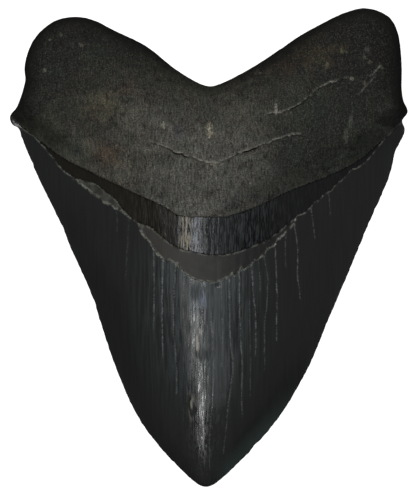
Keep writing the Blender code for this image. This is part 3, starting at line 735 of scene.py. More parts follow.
# Each stain and each patch of painted light, shade and sheen: x, y, half width, half height, strength,
# raggedness and colour. Later ones lie over earlier.
STAINS_AND_PAINTED_LIGHT = (
    # broad clouds, grey along the middle and dark towards the lobes: partly stains and partly painted light
    # and shade, paler along the middle and the lower margin and darker up the root and by the lobes
    (-17.0, 29.0, 36.0, 24.0, 1.00, 0.5, "#37362f"), (0.0, 27.0, 25.0, 19.0, 0.90, 0.5, "#504f4a"),
    (20.0, 40.0, 13.0, 11.0, 0.60, 0.7, "#3d3d36"), (-2.0, 16.0, 22.0, 9.0, 0.60, 0.6, "#666560"),
    (-30.0, 25.0, 16.0, 7.0, 0.50, 0.8, "#46443c"), (-46.5, 32.5, 6.0, 4.0, 0.60, 1.2, "#46463a"),
    (45.5, 31.0, 7.0, 4.5, 0.60, 1.2, "#3f4639"), (36.0, 29.0, 16.0, 16.0, 0.80, 0.6, "#222620"),
    (-37.5, 24.5, 11.0, 5.5, 0.80, 0.8, "#5f5f55"), (-26.0, 20.0, 11.0, 5.0, 0.75, 0.8, "#625f56"),
    (-5.0, 12.5, 10.0, 5.0, 0.60, 0.8, "#76756f"), (0.0, 27.5, 15.0, 5.5, 0.60, 0.8, "#6c6b65"),
    # smaller clouds over them, with painted light along the lower margin's sides
    (-20.0, 35.0, 8.0, 8.0, 0.60, 1.0, "#5c5a53"), (-13.5, 30.5, 6.0, 5.0, 0.60, 1.0, "#6f6d66"),
    (10.5, 36.0, 8.0, 7.0, 0.55, 1.0, "#58574f"), (0.0, 43.0, 11.0, 4.0, 0.60, 1.0, "#47483f"),
    (14.0, 14.5, 5.0, 4.0, 0.50, 0.8, "#3a3b36"), (42.8, 26.8, 4.0, 3.0, 0.70, 0.8, "#4c4f48"),
    (50.5, 36.5, 3.5, 3.5, 0.70, 0.8, "#393b37"), (41.0, 34.5, 5.0, 5.0, 0.50, 0.8, "#171816"),
    (-45.5, 30.5, 5.0, 3.0, 0.70, 0.8, "#4c4d44"), (19.8, 32.8, 4.0, 4.0, 0.40, 1.0, "#2c2d28"),
    (26.0, 18.0, 12.0, 4.5, 0.70, 0.8, "#42433e"), (38.5, 23.0, 9.0, 4.0, 0.80, 0.8, "#4c4f48"),
    (47.5, 31.5, 5.0, 3.5, 0.80, 0.8, "#4a4c46"), (-4.0, 44.0, 9.0, 4.0, 0.40, 1.2, "#4a4b42"),
    (-11.0, 48.0, 5.0, 3.0, 0.50, 1.2, "#41423a"),
    # rust, olive and green patches, and the right lobe's black end
    (-27.8, 25.4, 5.0, 4.0, 0.60, 1.2, "#4b3629"), (-29.0, 38.5, 6.5, 5.0, 0.55, 1.5, "#575342"),
    (-22.5, 43.5, 3.0, 2.5, 0.35, 1.5, "#46362c"), (45.0, 55.0, 12.0, 10.5, 1.00, 0.8, "#10100f"),
    (30.0, 53.0, 8.0, 4.0, 0.60, 2.4, "#3b3423"), (21.0, 50.0, 5.0, 3.0, 0.60, 1.3, "#33291f"),
    (22.5, 26.5, 4.5, 5.5, 0.45, 1.0, "#1b2625"), (27.0, 38.5, 6.0, 5.0, 0.40, 1.2, "#26332a"),
    (24.0, 20.0, 4.0, 4.0, 0.40, 1.2, "#2e321f"), (-8.2, 32.0, 2.2, 2.8, 0.45, 0.8, "#46444d"),
    (-42.5, 48.5, 3.5, 2.5, 0.50, 1.0, "#242e2c"), (-31.0, 53.5, 4.0, 2.5, 0.50, 0.8, "#223024"),
    (-36.6, 26.8, 2.2, 1.8, 0.50, 0.5, "#3a4440"),
    # the worn sides of the groove on the right lobe
    (38.9, 34.5, 0.8, 2.2, 0.55, 0.5, "#585b52"), (37.6, 30.8, 0.8, 2.4, 0.55, 0.5, "#585b52"),
    (36.2, 26.0, 0.5, 2.6, 0.45, 0.5, "#484b43"), (39.4, 39.0, 0.4, 2.4, 0.45, 0.5, "#484b43"),
    # clay in and beside the nutrient hole, a painted shadow on its upper side, and clay under the long
    # crack's lowest point
    (0.0, 32.2, 1.2, 2.4, 0.75, 1.2, "#8f8a7a"), (0.1, 31.7, 0.7, 1.3, 0.70, 1.2, "#c4bea9"),
    (-1.6, 33.5, 1.0, 1.8, 0.55, 0.6, "#23241f"), (1.3, 22.9, 2.6, 0.5, 0.70, 0.8, "#8a867a"),
    # a painted teal sheen on the right lobe's side
    (53.9, 50.0, 1.2, 7.0, 0.85, 0.4, "#24544c"),
    # single pale chips
    (18.4, 38.1, 0.5, 1.7, 0.85, 0.7, "#a3a097"), (-12.4, 33.6, 0.6, 1.0, 0.80, 1.2, "#a19e90"),
    (-37.0, 31.6, 0.5, 2.4, 0.55, 0.3, "#6a665c"), (-41.0, 58.7, 0.6, 0.7, 0.50, 1.2, "#77756a"),
    (-43.8, 57.3, 0.6, 0.5, 0.50, 1.2, "#77756a"), (-35.1, 55.9, 0.9, 0.6, 0.50, 1.2, "#77756a"),
    (-45.2, 48.7, 0.6, 0.5, 0.60, 1.2, "#8a897c"), (37.1, 54.1, 0.9, 0.8, 0.70, 1.4, "#6c6850"),
    (32.2, 50.2, 0.9, 0.7, 0.70, 1.4, "#716c5c"), (39.4, 46.5, 0.7, 0.6, 0.80, 1.4, "#7d7a70"),
    (43.5, 54.4, 0.7, 0.8, 0.45, 1.4, "#62605a"), (42.9, 52.2, 0.7, 0.7, 0.50, 1.4, "#5c5a50"),
    (44.2, 51.0, 0.7, 0.6, 0.60, 1.4, "#5c5a50"), (47.2, 49.8, 0.7, 0.6, 0.65, 1.4, "#66645c"),
    (42.6, 45.5, 0.6, 0.6, 0.60, 1.4, "#5f5d55"), (13.2, 48.6, 1.0, 1.0, 0.55, 1.4, "#6f6c62"),
)


def ink(code):
    """An sRGB hex colour as the linear colour that a shader takes."""
    parts = [int(code[i:i + 2], 16) / 255 for i in (1, 3, 5)]
    return (*[part / 12.92 if part <= 0.04045 else ((part + 0.055) / 1.055) ** 2.4 for part in parts], 1.0)


def new_material(name):
    material = bpy.data.materials.new(name)
    material.use_nodes = True
    return material


def add_node(material, kind, inputs, output=0, **settings):
    """Adds a node, sets it up, sets or links its inputs, and gives back one of its outputs.

    Inputs are named or numbered as the node has them. In a MapRange, 1 and 2 are the range that is read,
    and 3 and 4 the range that comes out, 0 to 1 where they are left out. In a Mix, 0 is the share of the
    second value, 2 and 3 are numbers, and 6 and 7 are colours.
    """
    node = material.node_tree.nodes.new("ShaderNode" + kind)
    for name, value in settings.items():
        setattr(node, name, value)
    for socket, value in inputs.items():
        if isinstance(value, bpy.types.NodeSocket):
            material.node_tree.links.new(value, node.inputs[socket])
        else:
            node.inputs[socket].default_value = value
    return node.outputs[output]


def finish_surface(material, **sockets):
    """Sets or links the sockets of the material's Principled shader."""
    shader = material.node_tree.nodes["Principled BSDF"]
    for name, value in sockets.items():
        socket = shader.inputs[name.replace("_", " ")]
        if isinstance(value, bpy.types.NodeSocket):
            material.node_tree.links.new(value, socket)
        else:
            socket.default_value = value


def place_on_tooth(material):
    """Each point's place in millimetres."""
    place = add_node(material, "TexCoord", {}, "Object")
    return add_node(material, "VectorMath", {0: place, 1: (1 / MM, 1 / MM, 1 / MM)}, operation="MULTIPLY")


def drawn_out_grain(material, place, size, detail, roughness=0.5):
    """A grain drawn out along the tooth, with a width, a length and a depth in millimetres."""
    shares = tuple(1 / side for side in size)
    place = add_node(material, "VectorMath", {0: place, 1: shares}, operation="MULTIPLY")
    return add_node(material, "TexNoise", {"Vector": place, "Scale": 1.0, "Detail": detail,
                                           "Roughness": roughness})


def away_from(material, place, x, y, half_width, half_height):
    """How far each point lies from a place: 0 in its middle and 1 at its half width or half height."""
    away = add_node(material, "VectorMath", {
        0: place, 1: (1 / half_width, 1 / half_height, 0.0), 2: (-x / half_width, -y / half_height, 0.0)},
        operation="MULTIPLY_ADD")
    return add_node(material, "VectorMath", {0: away}, "Value", operation="LENGTH")


def stains_and_painted_light(stone, place, colour, lumps_wide, clumps):
    """Every stain and each patch of painted light and shade, with its ragged border, one over the other."""
    upper = add_node(stone, "Attribute", {}, "Fac", attribute_name="upper")
    for x, y, half_width, half_height, strength, raggedness, code in STAINS_AND_PAINTED_LIGHT:
        away = away_from(stone, place, x, y, half_width, half_height)
        ruffle = clumps if half_width < CHIP else lumps_wide
        ragged = add_node(stone, "Math", {0: ruffle, 1: raggedness * 2, 2: away}, operation="MULTIPLY_ADD")
        share = add_node(stone, "MapRange", {0: ragged, 1: 1.3 + raggedness, 2: 0.3 + raggedness,
                                             4: strength}, interpolation_type="SMOOTHSTEP")
        if half_width < SMALL_STAIN:
            share = add_node(stone, "Math", {0: share, 1: upper}, operation="MULTIPLY")
        colour = add_node(stone, "Mix", {0: share, 6: colour, 7: ink(code)}, 2, data_type="RGBA")
    return colour


def sandy(stone, place, colour, clouds, grain, lumps_wide):
    """The grain over the stains: sand, fibres, grit, pale flecks, small marks and a slight tint."""
    fibres = drawn_out_grain(stone, place, FIBRE, 3.0, 0.6)
    mottle = add_node(stone, "Mix", {0: 0.5, 2: grain, 3: fibres})
    mottle = add_node(stone, "MapRange", {0: mottle, 1: 0.42, 2: 0.58, 3: 0.55, 4: 1.5})
    cloud_share = add_node(stone, "MapRange", {0: clouds, 1: 0.3, 2: 0.7, 3: 0.7, 4: 1.3})
    mottle = add_node(stone, "Math", {0: mottle, 1: cloud_share}, operation="MULTIPLY")
    grit = add_node(stone, "TexNoise", {"Vector": place, "Scale": 1 / GRIT, "Detail": 1.0})
    grit = add_node(stone, "MapRange", {0: grit, 1: 0.35, 2: 0.65, 3: 0.55, 4: 1.45})
    for shade in (mottle, grit):
        grey = add_node(stone, "CombineColor", {0: shade, 1: shade, 2: shade})
        colour = add_node(stone, "Mix", {0: 1.0, 6: colour, 7: grey}, 2, data_type="RGBA",
                          blend_type="MULTIPLY")
    flecks = add_node(stone, "MapRange", {0: grain, 1: 0.51, 2: 0.63, 4: 0.42})
    colour = add_node(stone, "Mix", {0: flecks, 6: colour, 7: ink("#6c6b64")}, 2, data_type="RGBA")
    crowd = add_node(stone, "MapRange", {0: lumps_wide, 1: 0.4, 2: 0.6, 3: 0.15})
    for size, begins, full, strength, change in MARKS:
        marks = drawn_out_grain(stone, place, (size, size / 0.35, size / 0.6), 1.0)
        marks = add_node(stone, "MapRange", {0: marks, 1: begins, 2: full, 4: strength})
        marks = add_node(stone, "Math", {0: marks, 1: crowd}, operation="MULTIPLY")
        colour = add_node(stone, "Mix", {0: marks, 6: colour, 7: (change, change, change, 1.0)}, 2,
                          data_type="RGBA", blend_type="MULTIPLY")
    tint_share = add_node(stone, "TexNoise", {"Vector": place, "Scale": 1 / TINT, "Detail": 4.0,
                                              "Roughness": 0.7})
    tint_share = add_node(stone, "MapRange", {0: tint_share, 1: 0.36, 2: 0.64})
    tint = add_node(stone, "Mix", {0: tint_share, 6: (1.05, 1.0, 0.97, 1.0), 7: (0.95, 1.01, 1.02, 1.0)}, 2,
                    data_type="RGBA")
    colour = add_node(stone, "Mix", {0: 1.0, 6: colour, 7: tint}, 2, data_type="RGBA",
                      blend_type="MULTIPLY")
    return colour, mottle


def painted_side_shade(stone, place, colour, lumps_wide, clumps):
    """Painted shade: the lobes darken to their sides in ragged clouds, less by the notch and the shoulders.
    """
    inward = add_node(stone, "Attribute", {}, "Fac", attribute_name="inward")
    ragged = add_node(stone, "Math", {0: lumps_wide, 1: -4.5, 2: inward}, operation="MULTIPLY_ADD")
    ragged = add_node(stone, "Math", {0: clumps, 1: -4.0, 2: ragged}, operation="MULTIPLY_ADD")
    shade = add_node(stone, "MapRange", {0: ragged, 1: -4.2, 2: 0.0, 3: 0.92, 4: 0.0},
                     interpolation_type="SMOOTHSTEP")
    from_notch = add_node(stone, "SeparateXYZ", {0: place}, "X")
    from_notch = add_node(stone, "Math", {0: from_notch}, operation="ABSOLUTE")
    from_notch = add_node(stone, "MapRange", {0: from_notch, 1: 5.0, 2: 20.0, 3: 0.45})
    up_the_root = add_node(stone, "SeparateXYZ", {0: place}, "Y")
    up_the_root = add_node(stone, "MapRange", {0: up_the_root, 1: 31.0, 2: 41.0, 3: 0.35})
    for share in (from_notch, up_the_root):
        shade = add_node(stone, "Math", {0: shade, 1: share}, operation="MULTIPLY")
    # The painted shade's near-black colour.
    return add_node(stone, "Mix", {0: shade, 6: colour, 7: ink("#191918")}, 2, data_type="RGBA")


def root_dentine():
    stone = new_material("Phosphatised root dentine, weathered matt")
    place = place_on_tooth(stone)
    clouds = add_node(stone, "TexNoise", {"Vector": place, "Scale": 1 / CLOUD, "Detail": 5.0,
                                          "Roughness": 0.62})
    lumps_wide = add_node(stone, "TexNoise", {"Vector": place, "Scale": 1 / LUMP, "Detail": 4.0,
                                              "Roughness": 0.6})
    clumps = add_node(stone, "TexNoise", {"Vector": place, "Scale": 1 / CLUMP, "Detail": 2.0})
    grain = add_node(stone, "TexNoise", {"Vector": place, "Scale": 1 / GRAIN, "Detail": 3.0,
                                         "Roughness": 0.85})
    colour = add_node(stone, "Mix", {0: clouds, 6: ink("#161614"), 7: ink("#20201e")}, 2, data_type="RGBA")
    colour = stains_and_painted_light(stone, place, colour, lumps_wide, clumps)
    colour, mottle = sandy(stone, place, colour, clouds, grain, lumps_wide)
    colour = painted_side_shade(stone, place, colour, lumps_wide, clumps)

    margin = add_node(stone, "Attribute", {}, "Fac", attribute_name="margin")
    worn_margin = add_node(stone, "MapRange", {0: margin, 1: 0.45, 2: 0.05, 4: 0.3})
    worn_margin = add_node(stone, "Math", {0: worn_margin, 1: mottle}, operation="MULTIPLY")
    # The crack lips are paler, partly chipped and partly painted highlight; the gaps and deeper pits take
    # painted shade.
    lip = add_node(stone, "Attribute", {}, "Fac", attribute_name="lip")
    lip_share = add_node(stone, "MapRange", {0: grain, 1: 0.42, 2: 0.54, 3: 0.25, 4: 1.35})
    lip = add_node(stone, "Math", {0: lip, 1: lip_share}, operation="MULTIPLY")
    gap = add_node(stone, "Attribute", {}, "Fac", attribute_name="gap")
    for share, code in ((worn_margin, "#6d6b63"), (lip, "#a8a59b"), (gap, "#0b0b0a")):
        colour = add_node(stone, "Mix", {0: share, 6: colour, 7: ink(code)}, 2, data_type="RGBA")

    relief = add_node(stone, "Bump", {"Height": grain, "Strength": 1.0, "Distance": 0.2 * MM})
    roughness = add_node(stone, "MapRange", {0: grain, 1: 0.3, 2: 0.7, 3: 0.7, 4: 0.9})
    finish_surface(stone, Base_Color=colour, Roughness=roughness, Normal=relief, IOR=1.58,
                   Specular_IOR_Level=0.3)
    return stone


tooth.data.materials.append(root_dentine())


# ---- The bourlette -----------------------------------------------------------------------------------
# A band of very thin enamel around the neck, which took up more iron than the crown: almost black, brown on
# one side, with close upright striae that give it a combed satin gloss. A painted highlight, warm to the
# left and bluish to the right, lies near its middle.

# The striae: width, length and depth, wider than the real quarter of a millimetre so that they show.
STRIA = (0.34, 3.6, 3.0)
# Painted highlight on the band: X, reach and colour.
NECK_HIGHLIGHTS = ((-6.2, 2.6, "#b5aa93"), (-3.6, 2.2, "#959ba6"))


def bourlette_enamel():
    satin = new_material("Neck enamel, striated satin")
    place = place_on_tooth(satin)
    striae = drawn_out_grain(satin, place, STRIA, 2.0, 0.65)
    side = add_node(satin, "SeparateXYZ", {0: place}, "X")
    from_middle = add_node(satin, "Math", {0: side}, operation="ABSOLUTE")
    brown_share = add_node(satin, "MapRange", {0: side, 1: -3.0, 2: -10.0, 4: 0.9})
    greyer = add_node(satin, "MapRange", {0: from_middle, 1: 9.0, 2: 20.0})
    black = add_node(satin, "Mix", {0: greyer, 6: ink("#0c0c0d"), 7: ink("#262627")}, 2, data_type="RGBA")
    brown = add_node(satin, "Mix", {0: greyer, 6: ink("#15110c"), 7: ink("#2b2823")}, 2, data_type="RGBA")
    colour = add_node(satin, "Mix", {0: brown_share, 6: black, 7: brown}, 2, data_type="RGBA")

    streaks = add_node(satin, "MapRange", {0: striae, 1: 0.48, 2: 0.6, 4: 0.85})
    fainter = add_node(satin, "MapRange", {0: from_middle, 1: 12.0, 2: 26.0, 3: 1.0, 4: 0.25})
    streaks = add_node(satin, "Math", {0: streaks, 1: fainter}, operation="MULTIPLY")
    streak_colour = add_node(satin, "Mix", {0: brown_share, 6: ink("#3c4041"), 7: ink("#403b32")}, 2,
                             data_type="RGBA")
    colour = add_node(satin, "Mix", {0: streaks, 6: colour, 7: streak_colour}, 2, data_type="RGBA")
    crisp = add_node(satin, "MapRange", {0: striae, 1: 0.5, 2: 0.57})
    # Painted highlight, laid over the band's striae.
    for x, reach, code in NECK_HIGHLIGHTS:
        neck_highlight = add_node(satin, "Math", {0: side, 1: x}, operation="SUBTRACT")
        neck_highlight = add_node(satin, "Math", {0: neck_highlight}, operation="ABSOLUTE")
        neck_highlight = add_node(satin, "MapRange", {0: neck_highlight, 1: reach, 2: 0.0, 4: 0.88},
                          interpolation_type="SMOOTHSTEP")
        neck_highlight = add_node(satin, "Math", {0: neck_highlight, 1: crisp}, operation="MULTIPLY")
        colour = add_node(satin, "Mix", {0: neck_highlight, 6: colour, 7: ink(code)}, 2, data_type="RGBA")
    roughness = add_node(satin, "MapRange", {0: striae, 1: 0.4, 2: 0.6, 3: 0.06, 4: 0.27})
    relief = add_node(satin, "Bump", {"Height": striae, "Strength": 1.0, "Distance": 0.055 * MM})
    finish_surface(satin, Base_Color=colour, Roughness=roughness, Normal=relief, IOR=1.62,
                   Specular_IOR_Level=0.35)
    return satin


tooth.data.materials.append(bourlette_enamel())


# ---- Bare dentine ------------------------------------------------------------------------------------
# Dentine laid bare where the cap's enamel flaked off: a smooth matt grey, paler than what lies around it,
# with faint upright lines, and palest along its two broken borders.

BARE_CLOUD = 3.0
BARE_LINE = (0.5, 9.0, 4.0)                  # width, length and depth
BORDER_CRUMB = 1.5
# The pale borders: the ledge that each follows, where it is full and where it ends, and its strength.
BARE_BORDERS = (("enamel", 0.1, 0.5, 0.8), ("band", -0.12, -0.6, 0.6))


def bare_dentine():
    dull = new_material("Bare dentine, flaked smooth")
    place = place_on_tooth(dull)
    side = add_node(dull, "SeparateXYZ", {0: place}, "X")
    clouds = add_node(dull, "TexNoise", {"Vector": place, "Scale": 1 / BARE_CLOUD, "Detail": 4.0})
    cloud_share = add_node(dull, "MapRange", {0: clouds, 1: 0.35, 2: 0.65})
    colour = add_node(dull, "Mix", {0: cloud_share, 6: ink("#282723"), 7: ink("#34332f")}, 2,
                      data_type="RGBA")
    brown = add_node(dull, "MapRange", {0: side, 1: -2.0, 2: -8.0, 4: 0.6})
    green = add_node(dull, "MapRange", {0: side, 1: 0.0, 2: 10.0, 4: 0.95})
    lines = drawn_out_grain(dull, place, BARE_LINE, 3.0)
    pale_lines = add_node(dull, "MapRange", {0: lines, 1: 0.58, 2: 0.72, 4: 0.3})
    crumbs = add_node(dull, "TexNoise", {"Vector": place, "Scale": 1 / BORDER_CRUMB, "Detail": 4.0})
    crumbs = add_node(dull, "MapRange", {0: crumbs, 1: 0.42, 2: 0.6, 4: 1.1})
    left_end = add_node(dull, "MapRange", {0: side, 1: -17.0, 2: -24.0, 4: 0.7})
    left_end = add_node(dull, "Math", {0: left_end, 1: crumbs}, operation="MULTIPLY")
    layers = [(brown, "#3f3b37"), (green, "#131613"), (pale_lines, "#45433c"), (left_end, "#585b53")]
    for ledge, full, end, strength in BARE_BORDERS:
        border = add_node(dull, "Attribute", {}, "Fac", attribute_name=ledge)
        border = add_node(dull, "MapRange", {0: border, 1: end, 2: full, 4: strength})
        layers.append((add_node(dull, "Math", {0: border, 1: crumbs}, operation="MULTIPLY"), "#91938a"))
    for share, code in layers:
        colour = add_node(dull, "Mix", {0: share, 6: colour, 7: ink(code)}, 2, data_type="RGBA")
    relief = add_node(dull, "Bump", {"Height": lines, "Strength": 0.5, "Distance": 0.06 * MM})
    finish_surface(dull, Base_Color=colour, Roughness=0.62, Normal=relief, IOR=1.58)
    return dull


tooth.data.materials.append(bare_dentine())


# ---- Blade enamel ------------------------------------------------------------------------------------
# Enamel that took up iron and manganese until it was jet black, and kept its natural gloss. The crest of
# the dome is finely scuffed, which breaks up the highlight, and pale dust lines the splits. Fine lines of
# painted highlight run down the crest, with a painted sheen around them and a greenish one by the right
# edge near the tip.

# Width, length and depth of the enamel's growth lines, of the scuffs on its crest and of fine scratches,
# which are drawn coarser than real ones so that they show.
GROWTH_LINE = (0.6, 14.0, 6.0)
SCUFF = (0.9, 7.0, 0.9)
FINE_SCRATCH = (0.36, 4.0, 2.0)
EDGE_CRUMB = 1.4
DUST_CRUMB = 1.2
# Painted highlight in fine lines along the crest: x, y, half width, half height, strength and colour.
CREST_HIGHLIGHT_LINES = ((-4.8, -20.0, 3.6, 14.0, 0.60, "#655e50"), (-2.2, -15.0, 3.4, 6.0, 0.75, "#6f7fa3"),
              (-2.7, -23.0, 1.4, 7.5, 0.90, "#c9c3b4"), (-2.0, -39.5, 1.0, 10.5, 0.45, "#a39e90"),
              (-4.7, -43.5, 1.0, 5.0, 0.80, "#969184"), (-1.2, -54.0, 1.2, 6.5, 0.55, "#8a8d90"))
# Where a knock or a scrape has dulled the crest's gloss: x, y, half width and half height.
DULL_PLACES = ((-0.8, -29.0, 3.6, 1.9), (-3.4, -12.3, 2.2, 2.6))
SHEEN_PLACE = (-2.2, -14.85, 20.0, 33.0)      # where the dome has its painted sheen, in the same terms
SHEEN_OFF = 9.0             # added on the flat face, so that the painted sheen ends before it
CREST_X = -1.5
# Where a painted greenish sheen lies by the right cutting edge: along X and along Y, from none to full.
EDGE_SHEEN_PLACE = (("X", 1.0, 5.0), ("Y", -38.0, -50.0))


def enamel_colour(jet, place, striae, fine_wear, from_sheen, upper):
    """Black, with fine lines of painted highlight on the crest, a painted sheen around it, and a painted
    greenish sheen by the right cutting edge near the tip.
    """
    colour = add_node(jet, "Mix", {0: striae, 6: ink("#2d2d2d"), 7: ink("#373838")}, 2, data_type="RGBA")
    for x, y, half_width, half_height, strength, code in CREST_HIGHLIGHT_LINES:
        here = away_from(jet, place, x, y, half_width, half_height)
        here = add_node(jet, "MapRange", {0: here, 1: 1.2, 2: 0.1}, interpolation_type="SMOOTHSTEP")
        # The painted highlight falls in fine lines along the scratches.
        worn = add_node(jet, "MapRange", {0: fine_wear, 1: 0.5, 2: 0.57, 4: strength})
        for share in (worn, upper):
            here = add_node(jet, "Math", {0: here, 1: share}, operation="MULTIPLY")
        colour = add_node(jet, "Mix", {0: here, 6: colour, 7: ink(code)}, 2, data_type="RGBA")
    # A painted sheen around the crest, broken into streaks.
    painted_sheen = add_node(jet, "MapRange", {0: from_sheen, 1: 1.15, 2: 0.4, 4: 0.7}, interpolation_type="SMOOTHSTEP")
    sheen_streaks = add_node(jet, "MapRange", {0: striae, 1: 0.43, 2: 0.6, 3: 0.05, 4: 1.35})
    painted_sheen = add_node(jet, "Math", {0: painted_sheen, 1: sheen_streaks}, operation="MULTIPLY")
    # A painted greenish sheen by the right cutting edge, towards the tip.
    inward = add_node(jet, "Attribute", {}, "Fac", attribute_name="inward")
    edge_sheen_share = add_node(jet, "MapRange", {0: inward, 1: 4.5, 2: 1.0, 4: 0.8})
    for axis, none, full in EDGE_SHEEN_PLACE:
        part = add_node(jet, "SeparateXYZ", {0: place}, axis)
        part = add_node(jet, "MapRange", {0: part, 1: none, 2: full})
        edge_sheen_share = add_node(jet, "Math", {0: edge_sheen_share, 1: part}, operation="MULTIPLY")
    # The painted sheen around the crest, and the painted greenish sheen by the right edge.
    for share, code in ((painted_sheen, "#464c4d"), (edge_sheen_share, "#4c5956")):
        colour = add_node(jet, "Mix", {0: share, 6: colour, 7: ink(code)}, 2, data_type="RGBA")
    return colour


def broken_and_dusty(jet, place, colour):
    """The crumbled broken edge and the dust in the splits, with how much of that dust each point has."""
    broken = add_node(jet, "Attribute", {}, "Fac", attribute_name="enamel")
    broken = add_node(jet, "MapRange", {0: broken, 1: -0.5, 2: -0.1, 4: 0.75})
    crumbs = add_node(jet, "TexNoise", {"Vector": place, "Scale": 1 / EDGE_CRUMB, "Detail": 4.0})
    crumbs = add_node(jet, "MapRange", {0: crumbs, 1: 0.42, 2: 0.6, 4: 1.3})
    broken = add_node(jet, "Math", {0: broken, 1: crumbs}, operation="MULTIPLY")
    dust = add_node(jet, "Attribute", {}, "Fac", attribute_name="dust")
    crumbs = add_node(jet, "TexNoise", {"Vector": place, "Scale": 1 / DUST_CRUMB, "Detail": 3.0})
    crumbs = add_node(jet, "MapRange", {0: crumbs, 1: 0.36, 2: 0.6, 3: 0.2, 4: 1.3})
    dust = add_node(jet, "Math", {0: crumbs, 1: dust}, operation="MULTIPLY", use_clamp=True)
    towards_tip = add_node(jet, "SeparateXYZ", {0: place}, "Y")
    towards_tip = add_node(jet, "MapRange", {0: towards_tip, 1: -45.0, 2: -18.0, 3: 0.6})
    dust = add_node(jet, "Math", {0: dust, 1: towards_tip}, operation="MULTIPLY")
    for share, code in ((broken, "#858980"), (dust, "#7c8081")):
        colour = add_node(jet, "Mix", {0: share, 6: colour, 7: ink(code)}, 2, data_type="RGBA")
    return colour, dust


def enamel_roughness(jet, place, striae, fine_wear, on_crest, upper, dust):
    """Glossy on the flanks, scuffed along the crest, dull at a few knocks, and duller under the dust."""
    scuffs = drawn_out_grain(jet, place, SCUFF, 2.0, 0.68)
    scuffed = add_node(jet, "Mix", {0: 0.5, 2: scuffs, 3: fine_wear})
    scuffed = add_node(jet, "MapRange", {0: scuffed, 1: 0.42, 2: 0.58, 3: 0.05, 4: 0.38})
    unworn = add_node(jet, "MapRange", {0: striae, 1: 0.35, 2: 0.65, 3: 0.14, 4: 0.2})
    roughness = add_node(jet, "Mix", {0: on_crest, 2: unworn, 3: scuffed})
    for x, y, half_width, half_height in DULL_PLACES:
        away = away_from(jet, place, x, y, half_width, half_height)
        away = add_node(jet, "Math", {0: fine_wear, 1: 3.0, 2: away}, operation="MULTIPLY_ADD")
        dull = add_node(jet, "MapRange", {0: away, 1: 2.7, 2: 1.9})
        dull = add_node(jet, "Math", {0: dull, 1: upper}, operation="MULTIPLY")
        roughness = add_node(jet, "Mix", {0: dull, 2: roughness, 3: 0.8})
    return add_node(jet, "Mix", {0: dust, 2: roughness, 3: 0.7})


def blade_enamel():
    jet = new_material("Blade enamel, natural gloss")
    place = place_on_tooth(jet)
    upper = add_node(jet, "Attribute", {}, "Fac", attribute_name="upper")
    striae = drawn_out_grain(jet, place, GROWTH_LINE, 1.5, 0.6)
    fine_wear = drawn_out_grain(jet, place, FINE_SCRATCH, 1.0, 0.6)
    # Distance from the painted sheen's middle; it also marks the scuffed crest for the roughness.
    from_sheen = away_from(jet, place, *SHEEN_PLACE)
    on_flat_face = add_node(jet, "MapRange", {0: upper, 3: SHEEN_OFF, 4: 0.0})
    from_sheen = add_node(jet, "Math", {0: from_sheen, 1: on_flat_face}, operation="ADD")

    on_dome = add_node(jet, "MapRange", {0: from_sheen, 1: 1.0, 2: 0.5}, interpolation_type="SMOOTHSTEP")
    from_crest = add_node(jet, "SeparateXYZ", {0: place}, "X")
    from_crest = add_node(jet, "Math", {0: from_crest, 1: CREST_X}, operation="SUBTRACT")
    from_crest = add_node(jet, "Math", {0: from_crest}, operation="ABSOLUTE")
    along_crest = add_node(jet, "MapRange", {0: from_crest, 1: 8.0, 2: 4.0, 4: upper})
    on_crest = add_node(jet, "Math", {0: on_dome, 1: along_crest}, operation="MAXIMUM")

    colour = enamel_colour(jet, place, striae, fine_wear, from_sheen, upper)
    colour, dust = broken_and_dusty(jet, place, colour)
    roughness = enamel_roughness(jet, place, striae, fine_wear, on_crest, upper, dust)
    relief = add_node(jet, "Math", {0: fine_wear, 1: 0.5, 2: striae}, operation="MULTIPLY_ADD")
    relief_strength = add_node(jet, "MapRange", {0: on_crest, 3: 0.1})
    relief = add_node(jet, "Bump", {"Height": relief, "Strength": relief_strength, "Distance": 0.045 * MM})
    finish_surface(jet, Base_Color=colour, Roughness=roughness, Normal=relief, IOR=1.63)
    return jet


tooth.data.materials.append(blade_enamel())


# ---- The light table ---------------------------------------------------------------------------------
# The tooth lies on a sheet of opal acrylic lit from below: near white, even, and with almost no shadow.
# Only the camera sees it bright: to reflections and bounced light it is a dark grey sheet, so the glossy
# flanks stay black.

TABLE_SIZE = 60.0          # in metres, so that its edge is never in view
TABLE_CLOUD = 250.0        # faint clouds in the sheet's matt finish
TABLE_GLOW = 0.94


def light_table():
    sheet = new_material("Opal acrylic, lit from below")
    place = add_node(sheet, "TexCoord", {}, "Object")
    clouds = add_node(sheet, "TexNoise", {"Vector": place, "Scale": 1 / (TABLE_CLOUD * MM), "Detail": 2.0})
    roughness = add_node(sheet, "MapRange", {0: clouds, 3: 0.75, 4: 0.85})
    seen = add_node(sheet, "LightPath", {}, "Is Camera Ray")
    colour = add_node(sheet, "Mix", {0: seen, 6: ink("#262626"), 7: ink("#e6e6e4")}, 2, data_type="RGBA")
    glow = add_node(sheet, "Math", {0: seen, 1: TABLE_GLOW}, operation="MULTIPLY")
    finish_surface(sheet, Base_Color=colour, Roughness=roughness, IOR=1.49, Specular_IOR_Level=0.1,
                   Emission_Color=ink("#ffffff"), Emission_Strength=glow)
    bpy.ops.mesh.primitive_plane_add(size=TABLE_SIZE, location=(0.0, 0.0, 0.0))
    table = bpy.context.object
    table.name = "light_table"
    table.data.materials.append(sheet)
    return table


light_table()


# ---- Camera and studio light -------------------------------------------------------------------------
# The camera looks straight down on the domed face with a long lens. A long narrow softbox hung over the tip
# side draws the streak down the crest, a wide dim one overhead fills, and one beyond the root lights its
# matt grain, where the crown's gloss never mirrors it.

PICTURE_WIDTH, PICTURE_HEIGHT = 416, 496
MM_PER_PIXEL = 0.2782      # at the height of the tooth's outline
OUTLINE_HEIGHT = 4.0
CAMERA_HEIGHT = 1000.0
SENSOR_HEIGHT = 36.0
FAR_END = 100.0            # in metres, past the light table's edge
TOOTH_MIDDLE = (208.83, 247.77)              # in the picture, in pixels from its upper left corner
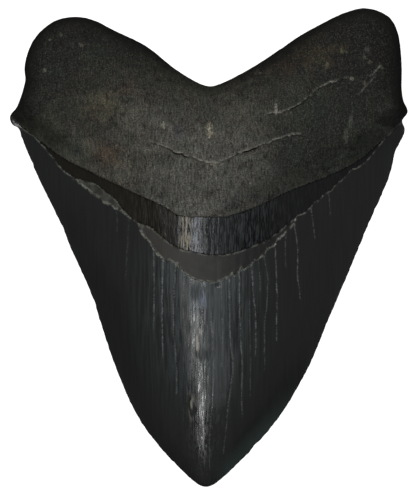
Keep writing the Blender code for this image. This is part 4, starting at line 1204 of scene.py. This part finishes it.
# Each softbox: its name, its lean in degrees from straight above along X and Y, its distance, width and
# length in metres, its watts and its colour.
SOFTBOXES = (
    ("crest_softbox", -9.0, -24.0, 0.8, 0.05, 1.1, 1.4, "#ffffff"),
    ("overhead_softbox", 0.0, -14.0, 0.8, 0.9, 0.8, 1.0, "#e8f1f4"),
    ("root_softbox", 0.0, 34.0, 0.9, 1.0, 0.5, 3.0, "#fffcf8"),
)
ROOM_LIGHT = 0.04          # the dim studio around them


def make_camera():
    camera = bpy.data.cameras.new("camera")
    camera.sensor_fit = "VERTICAL"
    camera.sensor_height = SENSOR_HEIGHT
    camera.lens = SENSOR_HEIGHT * (CAMERA_HEIGHT - OUTLINE_HEIGHT) / (PICTURE_HEIGHT * MM_PER_PIXEL)
    camera.clip_end = FAR_END
    holder = bpy.data.objects.new("camera", camera)
    aside = (PICTURE_WIDTH / 2 - TOOTH_MIDDLE[0]) * MM_PER_PIXEL
    up = (TOOTH_MIDDLE[1] - PICTURE_HEIGHT / 2) * MM_PER_PIXEL
    holder.location = (aside * MM, up * MM, CAMERA_HEIGHT * MM)
    bpy.context.collection.objects.link(holder)
    bpy.context.scene.camera = holder


def hang_softbox(name, lean_x, lean_y, distance, width, length, watts, colour):
    """A rectangular softbox that faces the tooth and is hidden from the camera."""
    light = bpy.data.lights.new(name, "AREA")
    light.shape = "RECTANGLE"
    light.size, light.size_y = width, length
    light.energy = watts
    light.color = ink(colour)[:3]
    holder = bpy.data.objects.new(name, light)
    direction = Vector((math.tan(math.radians(lean_x)), math.tan(math.radians(lean_y)), 1.0)).normalized()
    holder.location = direction * distance
    holder.rotation_euler = direction.to_track_quat("Z", "Y").to_euler()
    holder.visible_camera = False
    bpy.context.collection.objects.link(holder)


def dim_studio():
    world = bpy.data.worlds.new("studio")
    world.use_nodes = True
    world.node_tree.nodes["Background"].inputs["Color"].default_value = ink("#ffffff")
    world.node_tree.nodes["Background"].inputs["Strength"].default_value = ROOM_LIGHT
    bpy.context.scene.world = world


make_camera()
for softbox in SOFTBOXES:
    hang_softbox(*softbox)
dim_studio()
bpy.context.scene.view_settings.view_transform = "Standard"
